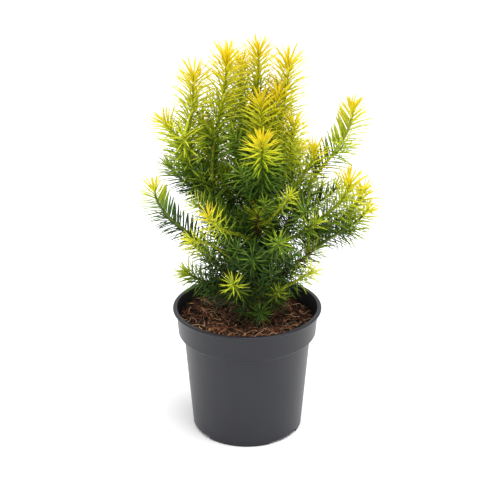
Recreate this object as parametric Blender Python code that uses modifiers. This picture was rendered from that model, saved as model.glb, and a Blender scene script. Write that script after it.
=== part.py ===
"""A young golden yew in a round nursery pot.

Metres, +Z up, origin at the centre of the pot's underside, front towards -Y.
The pot is turned, the compost fills it, the trunk stands on the compost, boughs
leave the trunk and shoots of needles leave the trunk and the boughs' tips.
"""

import math
import random

import bmesh
import bpy
import numpy as np
from mathutils import Matrix, Vector, noise

MM = 0.001
UP = Vector((0.0, 0.0, 1.0))
ACROSS = Vector((1.0, 0.0, 0.0))
NEARLY_UPRIGHT = 0.2
SEED = 127
GAP = 0.3 * MM
SHARP_EDGE = 40.0
NEEDLE_EDGE = 50.0

# Pot: outer radii and heights of the turned profile.
POT_HEIGHT = 132 * MM
RIM_RADIUS = 75 * MM
RIM_MOUTH_RADIUS = 72 * MM
RIM_THICKNESS = 3 * MM
BAND_TOP_RADIUS = 71.4 * MM
BAND_FOOT_RADIUS = 69.7 * MM
BAND_FOOT_HEIGHT = 105.5 * MM
SHOULDER_HEIGHT = 101 * MM
WALL_TOP_RADIUS = 64.0 * MM
WALL_FOOT_RADIUS = 55.9 * MM
WALL = 1.4 * MM
FLOOR_UNDERSIDE = 4 * MM
FLOOR_TOP = 5.5 * MM
FOOT_RING_WIDTH = 2.4 * MM
PAD_RADIUS = 12 * MM
CORNER = 1.6 * MM
POT_SIDES = 36

# Drain notches through the foot ring, as angles from the front.
NOTCH_ANGLES = (-63.0, 44.0, 170.0)
NOTCH_WIDTH = 38 * MM
NOTCH_HEIGHT = 3.4 * MM

# Compost: its surface, rough by a few millimetres and level under the trunk.
SOIL_LEVEL = 118.5 * MM
SOIL_ROUGHNESS = 3.2 * MM
SOIL_GRAIN = 19 * MM
SOIL_LEVEL_RADIUS = 13 * MM
SOIL_TILT = 0.03
SOIL_SEED_HEIGHT = 0.7
COMPOST_SIDES = 18
COMPOST_RINGS = (14 * MM, 27 * MM, 40 * MM, 53 * MM)

# Trunk: the four points that pull its axis, in millimetres, and its radii.
TRUNK_FOOT = (6.5, 5.0, 118.5)
TRUNK_KNEE = (9.0, 1.0, 160.0)
TRUNK_BEND = (5.5, -3.5, 196.0)
TRUNK_TIP = (11.5, -11.5, 236.0)
TRUNK_RADIUS = 3.6 * MM
TRUNK_TIP_RADIUS = 2.0 * MM
TRUNK_FLARE = 2.2 * MM
FLARE_HEIGHT = 7 * MM
TRUNK_STATIONS = 11
TRUNK_CROWDING = 1.3
TRUNK_ROUNDNESS = 3

# The crown's middle line, about which azimuth and reach are given.
CROWN_AXIS = (5.0, 4.0)

# Limbs are cubic curves. One that leaves another's side starts with a short
# square collar and then rises.
CURVE_PULL = 0.36
COLLAR_SHARE = 1.1
SIDE_RISE = 0.75

BOUGH_RADIUS = 2.0 * MM
BOUGH_TIP_RADIUS = 1.25 * MM
BOUGH_STATIONS = 6
BOUGH_ROUNDNESS = 1

# name: share of the trunk's length where it leaves, azimuth, reach, height, lift.
# Lift is how far the tip turns from the limb's own line to upright.
BOUGHS = {
    "bough_left": (0.50, 177, 39, 262, 0.85),
    "bough_left_low": (0.34, -165, 47, 195, 0.3),
    "bough_left_back": (0.55, 160, 36, 226, 0.3),
    "bough_centre": (0.80, 75, 12, 300, 0.8),
    "bough_centre_right": (0.88, 4, 25, 300, 0.8),
    "bough_right": (0.64, -8, 56, 262, 0.15),
    "bough_right_low": (0.36, -20, 66, 202, 0.15),
    "bough_right_back": (0.59, 17, 44, 217, 0.3),
    "bough_back_left": (0.65, 128, 40, 242, 0.5),
    "bough_back": (0.73, 92, 38, 262, 0.5),
    "bough_back_right": (0.46, 54, 42, 232, 0.5),
}

# The shoot that carries on from the trunk's tip: azimuth, reach, tip height, lift.
LEADER = (-78, 43, 315, 0.4)

# Shoots on a bough: bough, share of its length, azimuth, reach, tip height, lift.
BOUGH_SHOOTS = {
    "shoot_top_left_outer": ("bough_left", 0.93, 179, 55, 367, 0.9),
    "shoot_top_left": ("bough_left", 1.00, -175, 24, 385, 0.9),
    "shoot_left_high": ("bough_left", 0.80, 176, 83, 320, -0.2),
    "shoot_top_back": ("bough_centre", 0.86, 112, 28, 372, 0.9),
    "shoot_top_centre": ("bough_centre", 1.00, 54, 10, 389, 0.9),
    "shoot_front_high": ("bough_centre", 0.70, -62, 18, 346, 0.9),
    "shoot_top_right": ("bough_centre_right", 1.00, 7, 34, 380, 0.9),
    "shoot_inner_right": ("bough_centre_right", 0.85, -18, 25, 352, 0.9),
    "shoot_upper_right": ("bough_centre_right", 0.70, -20, 42, 324, 0.6),
    "shoot_right_high": ("bough_right", 1.00, -2, 95, 335, 0.99),
    "shoot_right_inner": ("bough_right", 0.76, -13, 60, 296, 0.9),
    "shoot_right_low": ("bough_right_low", 1.00, -12, 112, 240, 0.3),
    "shoot_right_front": ("bough_right_low", 0.93, -18, 97, 272, 0.85),
    "shoot_right_outer": ("bough_right_low", 0.84, -9, 107, 256, 0.7),
    "shoot_right_back": ("bough_right_back", 1.00, 12, 84, 249, 0.3),
    "shoot_left_low": ("bough_left_low", 1.00, -169, 96, 261, 0.85),
    "shoot_left_back": ("bough_left_back", 1.00, 165, 83, 269, 0.3),
}

# Shoots straight on the trunk: azimuth, reach, tip height, lift.
TRUNK_SHOOTS = {
    "shoot_front_right": (-33, 72, 236, 0.3),
    "shoot_front_small": (-53, 59, 266, 0.1),
    "shoot_front_rosette": (-69, 70, 226, 0.2),
    "shoot_right_rim": (-38, 74, 188, 0.2),
    "shoot_front_middle": (-90, 50, 202, 0.2),
    "shoot_front_low": (-109, 58, 178, 0.2),
    "shoot_low_right": (-54, 44, 161, 0.3),
    "shoot_lowest": (-80, 47, 143, 0.2),
    "shoot_left_rim": (-163, 67, 174, 0.1),
    "shoot_front_left": (-129, 66, 246, 0.5),
    "shoot_left_small": (-153, 62, 250, 0.2),
    "shoot_left_droop": (-145, 71, 216, -0.3),
}
TRUNK_SHOOT_RISE = 0.5
TRUNK_SHOOT_LOWEST = 0.09
TRUNK_SHOOT_HIGHEST = 0.93

# Behind the trunk the shoots follow a rule: three on each back bough, then a
# ring of low ones straight on the trunk.
BACK_BOUGHS = ("bough_back_left", "bough_back", "bough_back_right")
BACK_FAN = (
    (1.00, 0, 38, 42, 0.5),
    (0.84, -34, 32, 18, 0.5),
    (0.70, 22, 14, 66, 0.9),
)
LOW_BACK_COUNT = 5
LOW_BACK_FIRST_AZIMUTH = 18
LOW_BACK_STEP = 34
LOW_BACK_REACH = (70, 58)
LOW_BACK_HEIGHT = (189, 164)
LOW_BACK_LIFT = 0.3

SHOOT_RADIUS = 1.6 * MM
SHOOT_TIP_RADIUS = 1.05 * MM
SHOOT_STATIONS = 5
TWIG_RADIUS = 1.2 * MM
TWIG_TIP_RADIUS = 0.85 * MM
TWIG_STATIONS = 3
TWIG_SPACING = 30 * MM
TWIG_STEM_SHORTEST = 48 * MM
TWIG_FIRST = 0.16
TWIG_LAST = 0.5
TWIG_STAGGER = (0.3, 0.7)
TWIG_LENGTH_SPREAD = (0.8, 1.1)
TWIG_OPENING = 48.0
TWIG_OPENING_SPREAD = 8.0
TWIG_AROUND = (-0.5, 0.6)
TWIG_RISE = 0.2
TWIG_LIFT = 0.6
TWIG_SHARE = 0.42
TWIG_LONGEST = 34 * MM

# Needles: shorter and steeper towards a shoot's tip.
NEEDLE_LENGTH = 29 * MM
NEEDLE_TIP_LENGTH = 19 * MM
NEEDLE_HALF_WIDTH = 2.3 * MM
NEEDLE_HALF_THICKNESS = 0.9 * MM
NEEDLE_ROOT_SHARE = 0.16
NEEDLE_BELLY = 0.42
NEEDLE_BOW = 1.4 * MM
NEEDLE_SPACING = 4.7 * MM
NEEDLE_TIP_ZONE = 34 * MM
NEEDLE_TIP_OPENING = 19.0
NEEDLE_OPENING = 56.0
STEM_BARE_SHARE = 0.16
TWIG_BARE_SHARE = 0.32
NEEDLE_FIRST = 0.1
NEEDLE_FEWEST = 4
NEEDLE_CROWDING = 1.35
NEEDLE_TRIES = 5
NEEDLE_TURN_SPREAD = 0.12
NEEDLE_OPENING_SPREAD = 0.08
NEEDLE_LENGTH_SPREAD = (0.92, 1.06)
NEEDLE_ABOVE_SOIL = 4 * MM
NEEDLE_CLEAR = 0.45 * MM
GOLDEN_ANGLE = math.radians(137.508)
SPACE_OVERLAP = 9 * MM

GOLDEN_ABOVE = 300 * MM
LIME_BEYOND = 62 * MM
COLOURS = {
    "pot": (0.075, 0.077, 0.082),
    "compost": (0.055, 0.03, 0.02),
    "bark": (0.12, 0.055, 0.03),
    "golden": (0.62, 0.5, 0.03),
    "lime": (0.3, 0.36, 0.02),
    "green": (0.07, 0.13, 0.015),
}
ROUGHNESS = {"pot": 0.42, "compost": 0.95, "bark": 0.85, "golden": 0.5, "lime": 0.5, "green": 0.5}


def clear_scene():
    for thing in list(bpy.data.objects):
        bpy.data.objects.remove(thing, do_unlink=True)


def new_collection(name):
    collection = bpy.data.collections.new(name)
    bpy.context.scene.collection.children.link(collection)
    return collection


def new_material(name, colour, roughness):
    material = bpy.data.materials.new(name)
    material.use_nodes = True
    shader = material.node_tree.nodes["Principled BSDF"]
    shader.inputs["Base Color"].default_value = (*colour, 1.0)
    shader.inputs["Roughness"].default_value = roughness
    shader.inputs["Metallic"].default_value = 0.0
    return material


def new_object(name, data, collection):
    thing = bpy.data.objects.new(name, data)
    collection.objects.link(thing)
    return thing


def mesh_from_bmesh(name, bm):
    mesh = bpy.data.meshes.new(name)
    bm.to_mesh(mesh)
    bm.free()
    return mesh


def evaluated_mesh(thing):
    """The object's mesh with its modifiers worked in, in its own space."""
    graph = bpy.context.evaluated_depsgraph_get()
    graph.update()
    return bpy.data.meshes.new_from_object(thing.evaluated_get(graph), depsgraph=graph)


def finish_surface(mesh, material, sharp_degrees=SHARP_EDGE):
    mesh.materials.clear()
    mesh.materials.append(material)
    mesh.shade_smooth()
    mesh.set_sharp_from_angle(angle=math.radians(sharp_degrees))


def turned_object(name, profile, sides, collection):
    """Turn a profile of (radius, height) about Z; both its ends lie on the axis."""
    bm = bmesh.new()
    points = [bm.verts.new((radius, 0.0, height)) for radius, height in profile]
    for first, second in zip(points, points[1:]):
        bm.edges.new((first, second))
    thing = new_object(name, mesh_from_bmesh(name, bm), collection)
    screw = thing.modifiers.new("turn", "SCREW")
    screw.axis = "Z"
    screw.steps = sides
    screw.render_steps = sides
    screw.use_merge_vertices = True
    screw.merge_threshold = 0.00001
    return thing


def make_pot(parts, cutters, material):
    """A tapered nursery pot with a collar band and a lip that turns outwards."""
    lip_underside = POT_HEIGHT - RIM_THICKNESS
    foot = WALL_FOOT_RADIUS
    profile = [
        (0.0, FLOOR_TOP),
        (foot - WALL - CORNER, FLOOR_TOP),
        (foot - WALL, FLOOR_TOP + CORNER),
        (WALL_TOP_RADIUS - WALL, SHOULDER_HEIGHT - WALL),
        (BAND_FOOT_RADIUS - WALL, BAND_FOOT_HEIGHT),
        (BAND_TOP_RADIUS - WALL, lip_underside - WALL),
        (RIM_MOUTH_RADIUS - 0.4 * RIM_THICKNESS, POT_HEIGHT - 0.25 * RIM_THICKNESS),
        (RIM_MOUTH_RADIUS + 0.2 * RIM_THICKNESS, POT_HEIGHT),
        (RIM_RADIUS - 0.3 * RIM_THICKNESS, POT_HEIGHT),
        (RIM_RADIUS, POT_HEIGHT - 0.35 * RIM_THICKNESS),
        (RIM_RADIUS, lip_underside + 0.2 * RIM_THICKNESS),
        (RIM_RADIUS - 0.2 * RIM_THICKNESS, lip_underside),
        (BAND_TOP_RADIUS, lip_underside),
        (BAND_FOOT_RADIUS, BAND_FOOT_HEIGHT),
        (WALL_TOP_RADIUS, SHOULDER_HEIGHT),
        (foot, CORNER),
        (foot - CORNER, 0.0),
        (foot - CORNER - FOOT_RING_WIDTH, 0.0),
        (foot - CORNER - FOOT_RING_WIDTH - WALL, FLOOR_UNDERSIDE),
        (PAD_RADIUS + WALL, FLOOR_UNDERSIDE),
        (PAD_RADIUS, 0.0),
        (0.0, 0.0),
    ]
    pot = turned_object("pot", profile, POT_SIDES, parts)
    ring_middle = foot - CORNER
    for number, angle in enumerate(NOTCH_ANGLES):
        bm = bmesh.new()
        bmesh.ops.create_cube(bm, size=1.0)
        depth = 4 * (FOOT_RING_WIDTH + CORNER)
        bmesh.ops.scale(bm, vec=(NOTCH_WIDTH, depth, 2 * NOTCH_HEIGHT), verts=bm.verts)
        cutter = new_object(f"notch_cutter_{number}", mesh_from_bmesh("notch", bm), cutters)
        turn = math.radians(angle)
        cutter.location = (ring_middle * math.sin(turn), -ring_middle * math.cos(turn), 0.0)
        cutter.rotation_euler = (0.0, 0.0, turn)
        cutter.hide_render = True
        cutter.display_type = "WIRE"
        cut = pot.modifiers.new(cutter.name, "BOOLEAN")
        cut.operation = "DIFFERENCE"
        cut.object = cutter
    pot.data.materials.append(material)
    pot.data.shade_smooth()
    return pot


def soil_height(x, y):
    """Height of the compost's surface, level where the trunk stands."""
    from_trunk = math.hypot(x - TRUNK_FOOT[0] * MM, y - TRUNK_FOOT[1] * MM)
    share = min(1.0, max(0.0, from_trunk / SOIL_LEVEL_RADIUS - 1.0))
    lump = noise.noise(Vector((x / SOIL_GRAIN, y / SOIL_GRAIN, SOIL_SEED_HEIGHT)))
    return SOIL_LEVEL + share * (SOIL_ROUGHNESS * lump - SOIL_TILT * x)


def make_compost(parts, material):
    """The root ball's compost, from the pot's floor to its rough surface."""
    slack = 1.3 * GAP
    top_edge = BAND_FOOT_RADIUS - WALL - slack
    profile = [(0.0, SOIL_LEVEL)]
    profile += [(radius, SOIL_LEVEL) for radius in COMPOST_RINGS]
    profile += [
        (top_edge, SOIL_LEVEL),
        (top_edge, BAND_FOOT_HEIGHT + slack),
        (WALL_TOP_RADIUS - WALL - slack, SHOULDER_HEIGHT - WALL),
        (WALL_FOOT_RADIUS - WALL - slack, FLOOR_TOP + CORNER),
        (WALL_FOOT_RADIUS - WALL - CORNER - slack, FLOOR_TOP + GAP),
        (0.0, FLOOR_TOP + GAP),
    ]
    turned = turned_object("compost_blank", profile, COMPOST_SIDES, parts)
    mesh = evaluated_mesh(turned)
    bpy.data.objects.remove(turned, do_unlink=True)
    bm = bmesh.new()
    bm.from_mesh(mesh)
    for vert in bm.verts:
        if vert.co.z > SOIL_LEVEL - GAP:
            vert.co.z = soil_height(vert.co.x, vert.co.y)
    bmesh.ops.triangulate(bm, faces=bm.faces[:])
    bm.to_mesh(mesh)
    bm.free()
    mesh.name = "compost"
    finish_surface(mesh, material)
    return new_object("compost", mesh, parts)


class Limb:
    """A tapering path: its stations, their radii and a frame at each."""

    def __init__(self, name, points, radii):
        self.name = name
        self.points = points
        self.radii = radii
        self.length = sum((b - a).length for a, b in zip(points, points[1:]))

    def at(self, share):
        """Place, direction and radius at a share of the number of stations."""
        scaled = min(max(share, 0.0), 1.0) * (len(self.points) - 1)
        index = min(int(scaled), len(self.points) - 2)
        part = scaled - index
        start, end = self.points[index], self.points[index + 1]
        radius = self.radii[index] * (1 - part) + self.radii[index + 1] * part
        return start.lerp(end, part), (end - start).normalized(), radius

    def segments(self):
        """Each stretch between stations as its two ends with their radii."""
        ends = list(zip(self.points, self.radii))
        return [(a, b, ra, rb) for (a, ra), (b, rb) in zip(ends, ends[1:])]


def crown_point(azimuth, reach, height):
    """A place given in degrees and millimetres about the crown's middle line."""
    turn = math.radians(azimuth)
    x = CROWN_AXIS[0] + reach * math.cos(turn)
    y = CROWN_AXIS[1] + reach * math.sin(turn)
    return Vector((x, y, height)) * MM


def cubic(start, near, far, end, t):
    s = 1 - t
    return s ** 3 * start + 3 * s * s * t * near + 3 * s * t * t * far + t ** 3 * end


def curved_path(start, heading, end, arrival, stations):
    """A cubic curve that leaves along heading and arrives along arrival."""
    pull = CURVE_PULL * (end - start).length
    near = start + heading * pull
    far = end - arrival * pull
    return [cubic(start, near, far, end, i / (stations - 1)) for i in range(stations)]


def taper(first, last, stations):
    return [first + (last - first) * i / (stations - 1) for i in range(stations)]


def grow_from(carrier, share, end, lift, base_radius, tip_radius, stations, name):
    """A limb that meets its carrier GAP clear: end to end at a tip, else on its side."""
    place, along, radius = carrier.at(share)
    line = (end - place).normalized()
    arrival = (line * (1 - abs(lift)) + UP * lift).normalized()
    if share >= 1.0:
        path = curved_path(place + along * GAP, along, end, arrival, stations)
    else:
        out = (line - along * line.dot(along)).normalized()
        start = place + out * (radius + GAP)
        collar = start + out * COLLAR_SHARE * base_radius
        rising = (out + UP * SIDE_RISE).normalized()
        path = [start] + curved_path(collar, rising, end, arrival, stations)
    return Limb(name, path, taper(base_radius, tip_radius, len(path)))


def make_trunk_limb():
    """The trunk's axis bends twice, and its foot flares where it meets the compost."""
    foot, knee, bend, tip = (Vector(p) * MM for p in (TRUNK_FOOT, TRUNK_KNEE, TRUNK_BEND, TRUNK_TIP))
    foot.z += GAP
    path = []
    radii = []
    for index in range(TRUNK_STATIONS):
        t = (index / (TRUNK_STATIONS - 1)) ** TRUNK_CROWDING
        point = cubic(foot, knee, bend, tip, t)
        radius = TRUNK_RADIUS + (TRUNK_TIP_RADIUS - TRUNK_RADIUS) * t
        radius += TRUNK_FLARE * math.exp(-(point.z - foot.z) / FLARE_HEIGHT)
        path.append(point)
        radii.append(radius)
    return Limb("trunk", path, radii)


def limb_mesh(limb, bevel_resolution=None, section=None):
    """Sweep a round or a given section along the limb, with closed ends."""
    curve = bpy.data.curves.new(limb.name, "CURVE")
    curve.dimensions = "3D"
    curve.use_fill_caps = True
    if section is None:
        curve.bevel_depth = 1.0
        curve.bevel_resolution = bevel_resolution
    else:
        curve.bevel_mode = "OBJECT"
        curve.bevel_object = section
    spline = curve.splines.new("POLY")
    spline.points.add(len(limb.points) - 1)
    for point, place, radius in zip(spline.points, limb.points, limb.radii):
        point.co = (*place, 1.0)
        point.radius = radius
    holder = new_object("sweep", curve, bpy.context.scene.collection)
    mesh = evaluated_mesh(holder)
    bpy.data.objects.remove(holder, do_unlink=True)
    bpy.data.curves.remove(curve)
    bm = bmesh.new()
    bm.from_mesh(mesh)
    bmesh.ops.remove_doubles(bm, verts=bm.verts[:], dist=0.001 * MM)
    bmesh.ops.recalc_face_normals(bm, faces=bm.faces[:])
    bm.to_mesh(mesh)
    bm.free()
    mesh.name = limb.name
    return mesh


def flatten_foot(mesh, level):
    """Set the lowest ring on one level, for a flat cut at the ground."""
    lowest = min(v.co.z for v in mesh.vertices)
    for vert in mesh.vertices:
        if vert.co.z < lowest + TRUNK_FLARE:
            vert.co.z = level


def section_curve(sides):
    """A closed outline of unit radius, swept along the thin stems."""
    curve = bpy.data.curves.new("stem_section", "CURVE")
    curve.dimensions = "2D"
    spline = curve.splines.new("POLY")
    spline.points.add(sides - 1)
    for index, point in enumerate(spline.points):
        turn = 2 * math.pi * index / sides
        point.co = (math.cos(turn), math.sin(turn), 0.0, 1.0)
    spline.use_cyclic_u = True
    return new_object("stem_section", curve, bpy.context.scene.collection)


def needle_mesh():
    """A unit needle along +Z: a three-sided root, a belly and a pointed tip."""
    bm = bmesh.new()
    bmesh.ops.create_cone(
        bm, cap_ends=True, segments=3, radius1=NEEDLE_ROOT_SHARE, radius2=1.0, depth=NEEDLE_BELLY
    )
    bmesh.ops.translate(bm, vec=(0.0, 0.0, NEEDLE_BELLY / 2), verts=bm.verts)
    belly_face = max(bm.faces, key=lambda face: face.calc_center_median().z)
    poked = bmesh.ops.poke(bm, faces=[belly_face])
    poked["verts"][0].co = (0.0, 0.0, 1.0)
    belly_ring = [v for v in bm.verts if abs(v.co.z - NEEDLE_BELLY) < 0.01]
    lean = NEEDLE_BOW / NEEDLE_HALF_THICKNESS
    bmesh.ops.translate(bm, vec=(0.0, lean, 0.0), verts=belly_ring)
    return mesh_from_bmesh("needle", bm)


class Space:
    """What stands already: tapered rods with the name of the piece they belong to."""

    def __init__(self):
        self.starts = np.zeros((0, 3))
        self.ends = np.zeros((0, 3))
        self.start_radii = np.zeros(0)
        self.end_radii = np.zeros(0)
        self.owners = []

    def add(self, owner, segments):
        self.starts = np.vstack([self.starts] + [np.array(s[0])[None] for s in segments])
        self.ends = np.vstack([self.ends] + [np.array(s[1])[None] for s in segments])
        self.start_radii = np.append(self.start_radii, [s[2] for s in segments])
        self.end_radii = np.append(self.end_radii, [s[3] for s in segments])
        self.owners += [owner] * len(segments)

    def clearances(self, segment):
        """Free distance from one tapered rod to each rod that stands already."""
        p, q = np.array(segment[0]), np.array(segment[1])
        d1 = q - p
        d2 = self.ends - self.starts
        r = p - self.starts
        a = max(d1 @ d1, 1e-12)
        e = np.maximum(np.einsum("ij,ij->i", d2, d2), 1e-12)
        f = np.einsum("ij,ij->i", d2, r)
        c = r @ d1
        b = d2 @ d1
        denominator = np.maximum(a * e - b * b, 1e-16)
        s = np.clip((b * f - c * e) / denominator, 0.0, 1.0)
        t = np.clip((b * s + f) / e, 0.0, 1.0)
        s = np.clip((b * t - c) / a, 0.0, 1.0)
        nearest = p + s[:, None] * d1 - (self.starts + t[:, None] * d2)
        own = segment[2] + (segment[3] - segment[2]) * s
        other = self.start_radii + (self.end_radii - self.start_radii) * t
        return np.linalg.norm(nearest, axis=1) - own - other

    def is_free(self, segment, skip_owner=None):
        if not self.owners:
            return True
        mask = np.array([owner != skip_owner for owner in self.owners])
        clear = self.clearances(segment)
        return not mask.any() or clear[mask].min() > NEEDLE_CLEAR

    def own_and_other(self, point, owner):
        """Distances from a point to the owner's nearest rod and to another shoot's."""
        far = self.clearances((point, point, 0.0, 0.0))
        mine = np.array([name == owner for name in self.owners])
        others = np.array([name != owner and name.startswith("shoot") for name in self.owners])
        nearest_other = far[others].min() if others.any() else math.inf
        return far[mine].min(), nearest_other


def side_frames(limb):
    """At each station the stem's direction, a level side direction and its upper side."""
    points = limb.points
    side = None
    frames = []
    for index, point in enumerate(points):
        ahead = points[min(index + 1, len(points) - 1)]
        behind = points[max(index - 1, 0)]
        along = (ahead - behind).normalized()
        if side is None:
            side = along.cross(UP)
            if side.length < NEARLY_UPRIGHT:
                side = ACROSS.copy()
        side = (side - along * side.dot(along)).normalized()
        frames.append((point, along, side, side.cross(along)))
    return frames


def frame_at(frames, share):
    """Place, direction, side and upper side at a share of the stem."""
    scaled = share * (len(frames) - 1)
    index = min(int(scaled), len(frames) - 2)
    part = scaled - index
    return [a.lerp(b, part) for a, b in zip(frames[index], frames[index + 1])]


def side_twigs(limb, rng, space, owner):
    """Twigs that leave the stem by turns to its left and right and bend upwards."""
    frames = side_frames(limb)
    count = max(1, round(limb.length * (TWIG_LAST - TWIG_FIRST) / TWIG_SPACING))
    if limb.length < TWIG_STEM_SHORTEST:
        count = 0
    hand = rng.choice((-1, 1))
    twigs = []
    for index in range(count):
        step = (index + rng.uniform(*TWIG_STAGGER)) / count
        share = TWIG_FIRST + (TWIG_LAST - TWIG_FIRST) * step
        place, along, side, upper = frame_at(frames, share)
        hand = -hand
        around = rng.uniform(*TWIG_AROUND)
        out = side * hand * math.cos(around) + upper * math.sin(around)
        spread = rng.uniform(-TWIG_OPENING_SPREAD, TWIG_OPENING_SPREAD)
        opening = math.radians(TWIG_OPENING + spread)
        heading = (along * math.cos(opening) + out * math.sin(opening)).normalized()
        length = min(TWIG_LONGEST, TWIG_SHARE * limb.length) * rng.uniform(*TWIG_LENGTH_SPREAD)
        end = place + (heading + UP * TWIG_RISE) * length
        arrival = (heading + UP * TWIG_LIFT).normalized()
        path = curved_path(place, heading, end, arrival, TWIG_STATIONS)
        twig = Limb("twig", path, taper(TWIG_RADIUS, TWIG_TIP_RADIUS, TWIG_STATIONS))
        if all(space.is_free(segment, owner) for segment in twig.segments()):
            twigs.append(twig)
    return twigs


def needle_rods(root, direction, along, length):
    """The two tapered rods that a needle fills, root to belly and belly to tip."""
    upper = (along - direction * along.dot(direction)).normalized()
    belly = root + direction * length * NEEDLE_BELLY + upper * NEEDLE_BOW
    tip = root + direction * length
    return [
        (root, belly, NEEDLE_ROOT_SHARE * NEEDLE_HALF_WIDTH, NEEDLE_HALF_WIDTH),
        (belly, tip, NEEDLE_HALF_WIDTH, 0.0),
    ]


def place_needles(limb, bare_share, rng, space, owner):
    """Matrices of the needles along one stem, turned by the golden angle."""
    frames = side_frames(limb)
    leafy = limb.length * (1 - bare_share)
    count = max(NEEDLE_FEWEST, round(leafy / NEEDLE_SPACING))
    turn = rng.uniform(0, 2 * math.pi)
    matrices = []
    for index in range(count):
        from_tip = leafy * ((index + NEEDLE_FIRST) / count) ** NEEDLE_CROWDING
        share = 1 - from_tip / limb.length
        place, along, side, upper = frame_at(frames, share)
        zone = math.sqrt(min(1.0, from_tip / NEEDLE_TIP_ZONE))
        length = NEEDLE_TIP_LENGTH + (NEEDLE_LENGTH - NEEDLE_TIP_LENGTH) * zone
        length *= rng.uniform(*NEEDLE_LENGTH_SPREAD)
        steep = math.radians(NEEDLE_TIP_OPENING + (NEEDLE_OPENING - NEEDLE_TIP_OPENING) * zone)
        for _ in range(NEEDLE_TRIES):
            turn += GOLDEN_ANGLE + rng.uniform(-NEEDLE_TURN_SPREAD, NEEDLE_TURN_SPREAD)
            opening = steep + rng.uniform(-NEEDLE_OPENING_SPREAD, NEEDLE_OPENING_SPREAD)
            out = side * math.cos(turn) + upper * math.sin(turn)
            direction = (along * math.cos(opening) + out * math.sin(opening)).normalized()
            rods = needle_rods(place, direction, along, length)
            tip = rods[1][1]
            own, other = space.own_and_other(tip, owner)
            inside = own < other + SPACE_OVERLAP and tip.z > SOIL_LEVEL + NEEDLE_ABOVE_SOIL
            if inside and space.is_free(rods[0], owner) and space.is_free(rods[1]):
                break
        else:
            continue
        space.add(owner, rods)
        wide = along.cross(direction).normalized()
        thick = direction.cross(wide)
        matrix = Matrix.Identity(4)
        matrix.col[0] = (*(wide * NEEDLE_HALF_WIDTH), 0.0)
        matrix.col[1] = (*(thick * NEEDLE_HALF_THICKNESS), 0.0)
        matrix.col[2] = (*(direction * length), 0.0)
        matrix.col[3] = (*place, 1.0)
        matrices.append(matrix)
    return matrices


def outer_skin(mesh):
    """Keep the one largest skin: fills sealed hollows and drops loose scraps."""
    bm = bmesh.new()
    bm.from_mesh(mesh)
    unseen = set(bm.verts)
    islands = []
    while unseen:
        island = set()
        edge_of_search = [unseen.pop()]
        while edge_of_search:
            vert = edge_of_search.pop()
            island.add(vert)
            for edge in vert.link_edges:
                other = edge.other_vert(vert)
                if other in unseen:
                    unseen.remove(other)
                    edge_of_search.append(other)
        islands.append(island)
    largest = max(islands, key=len)
    scraps = [v for island in islands if island is not largest for v in island]
    bmesh.ops.delete(bm, geom=scraps, context="VERTS")
    bm.to_mesh(mesh)
    bm.free()


def fuse_shoot(name, stem, twigs, matrices, needle, section, parts, material):
    """Join the stem, its twigs and its needles into one solid."""
    loose = new_collection(f"{name}_pieces")
    for index, twig in enumerate(twigs):
        new_object(f"{name}_twig_{index}", limb_mesh(twig, section=section), loose)
    for index, matrix in enumerate(matrices):
        thing = new_object(f"{name}_needle_{index}", needle, loose)
        thing.matrix_world = matrix
    blank = new_object(f"{name}_stem", limb_mesh(stem, section=section), parts)
    union = blank.modifiers.new("fuse", "BOOLEAN")
    union.operation = "UNION"
    union.solver = "MANIFOLD"
    union.operand_type = "COLLECTION"
    union.collection = loose
    mesh = evaluated_mesh(blank)
    for thing in list(loose.objects) + [blank]:
        bpy.data.objects.remove(thing, do_unlink=True)
    bpy.data.collections.remove(loose)
    outer_skin(mesh)
    mesh.name = name
    finish_surface(mesh, material, NEEDLE_EDGE)
    return new_object(name, mesh, parts)


def shoot_limb(name, carrier, share, azimuth, reach, height, lift):
    end = crown_point(azimuth, reach, height)
    return grow_from(
        carrier, share, end, lift, SHOOT_RADIUS, SHOOT_TIP_RADIUS, SHOOT_STATIONS, name
    )


def plan_limbs():
    """All stems before any needle grows: trunk, boughs and the shoots' own stems."""
    trunk = make_trunk_limb()
    boughs = {}
    for name, (share, azimuth, reach, height, lift) in BOUGHS.items():
        end = crown_point(azimuth, reach, height)
        boughs[name] = grow_from(
            trunk, share, end, lift, BOUGH_RADIUS, BOUGH_TIP_RADIUS, BOUGH_STATIONS, name
        )
    shoots = {"shoot_leader": shoot_limb("shoot_leader", trunk, 1.0, *LEADER)}
    for name, (bough, share, azimuth, reach, height, lift) in BOUGH_SHOOTS.items():
        shoots[name] = shoot_limb(name, boughs[bough], share, azimuth, reach, height, lift)
    rows = dict(TRUNK_SHOOTS)
    for index in range(LOW_BACK_COUNT):
        azimuth = LOW_BACK_FIRST_AZIMUTH + LOW_BACK_STEP * index
        odd = index % 2
        size = (azimuth, LOW_BACK_REACH[odd], LOW_BACK_HEIGHT[odd], LOW_BACK_LIFT)
        rows[f"shoot_low_back_{index + 1}"] = size
    trunk_height = TRUNK_TIP[2] - TRUNK_FOOT[2]
    for name, (azimuth, reach, height, lift) in rows.items():
        leaves_at = (height - TRUNK_SHOOT_RISE * reach - TRUNK_FOOT[2]) / trunk_height
        share = min(max(leaves_at, TRUNK_SHOOT_LOWEST), TRUNK_SHOOT_HIGHEST)
        shoots[name] = shoot_limb(name, trunk, share, azimuth, reach, height, lift)
    for bough in BACK_BOUGHS:
        _, azimuth, reach, height, _ = BOUGHS[bough]
        side = bough.replace("bough_", "")
        for index, (share, turn, further, higher, lift) in enumerate(BACK_FAN):
            name = f"shoot_{side}_{index + 1}"
            shoots[name] = shoot_limb(
                name, boughs[bough], share, azimuth + turn, reach + further, height + higher, lift
            )
    return trunk, boughs, shoots


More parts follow.
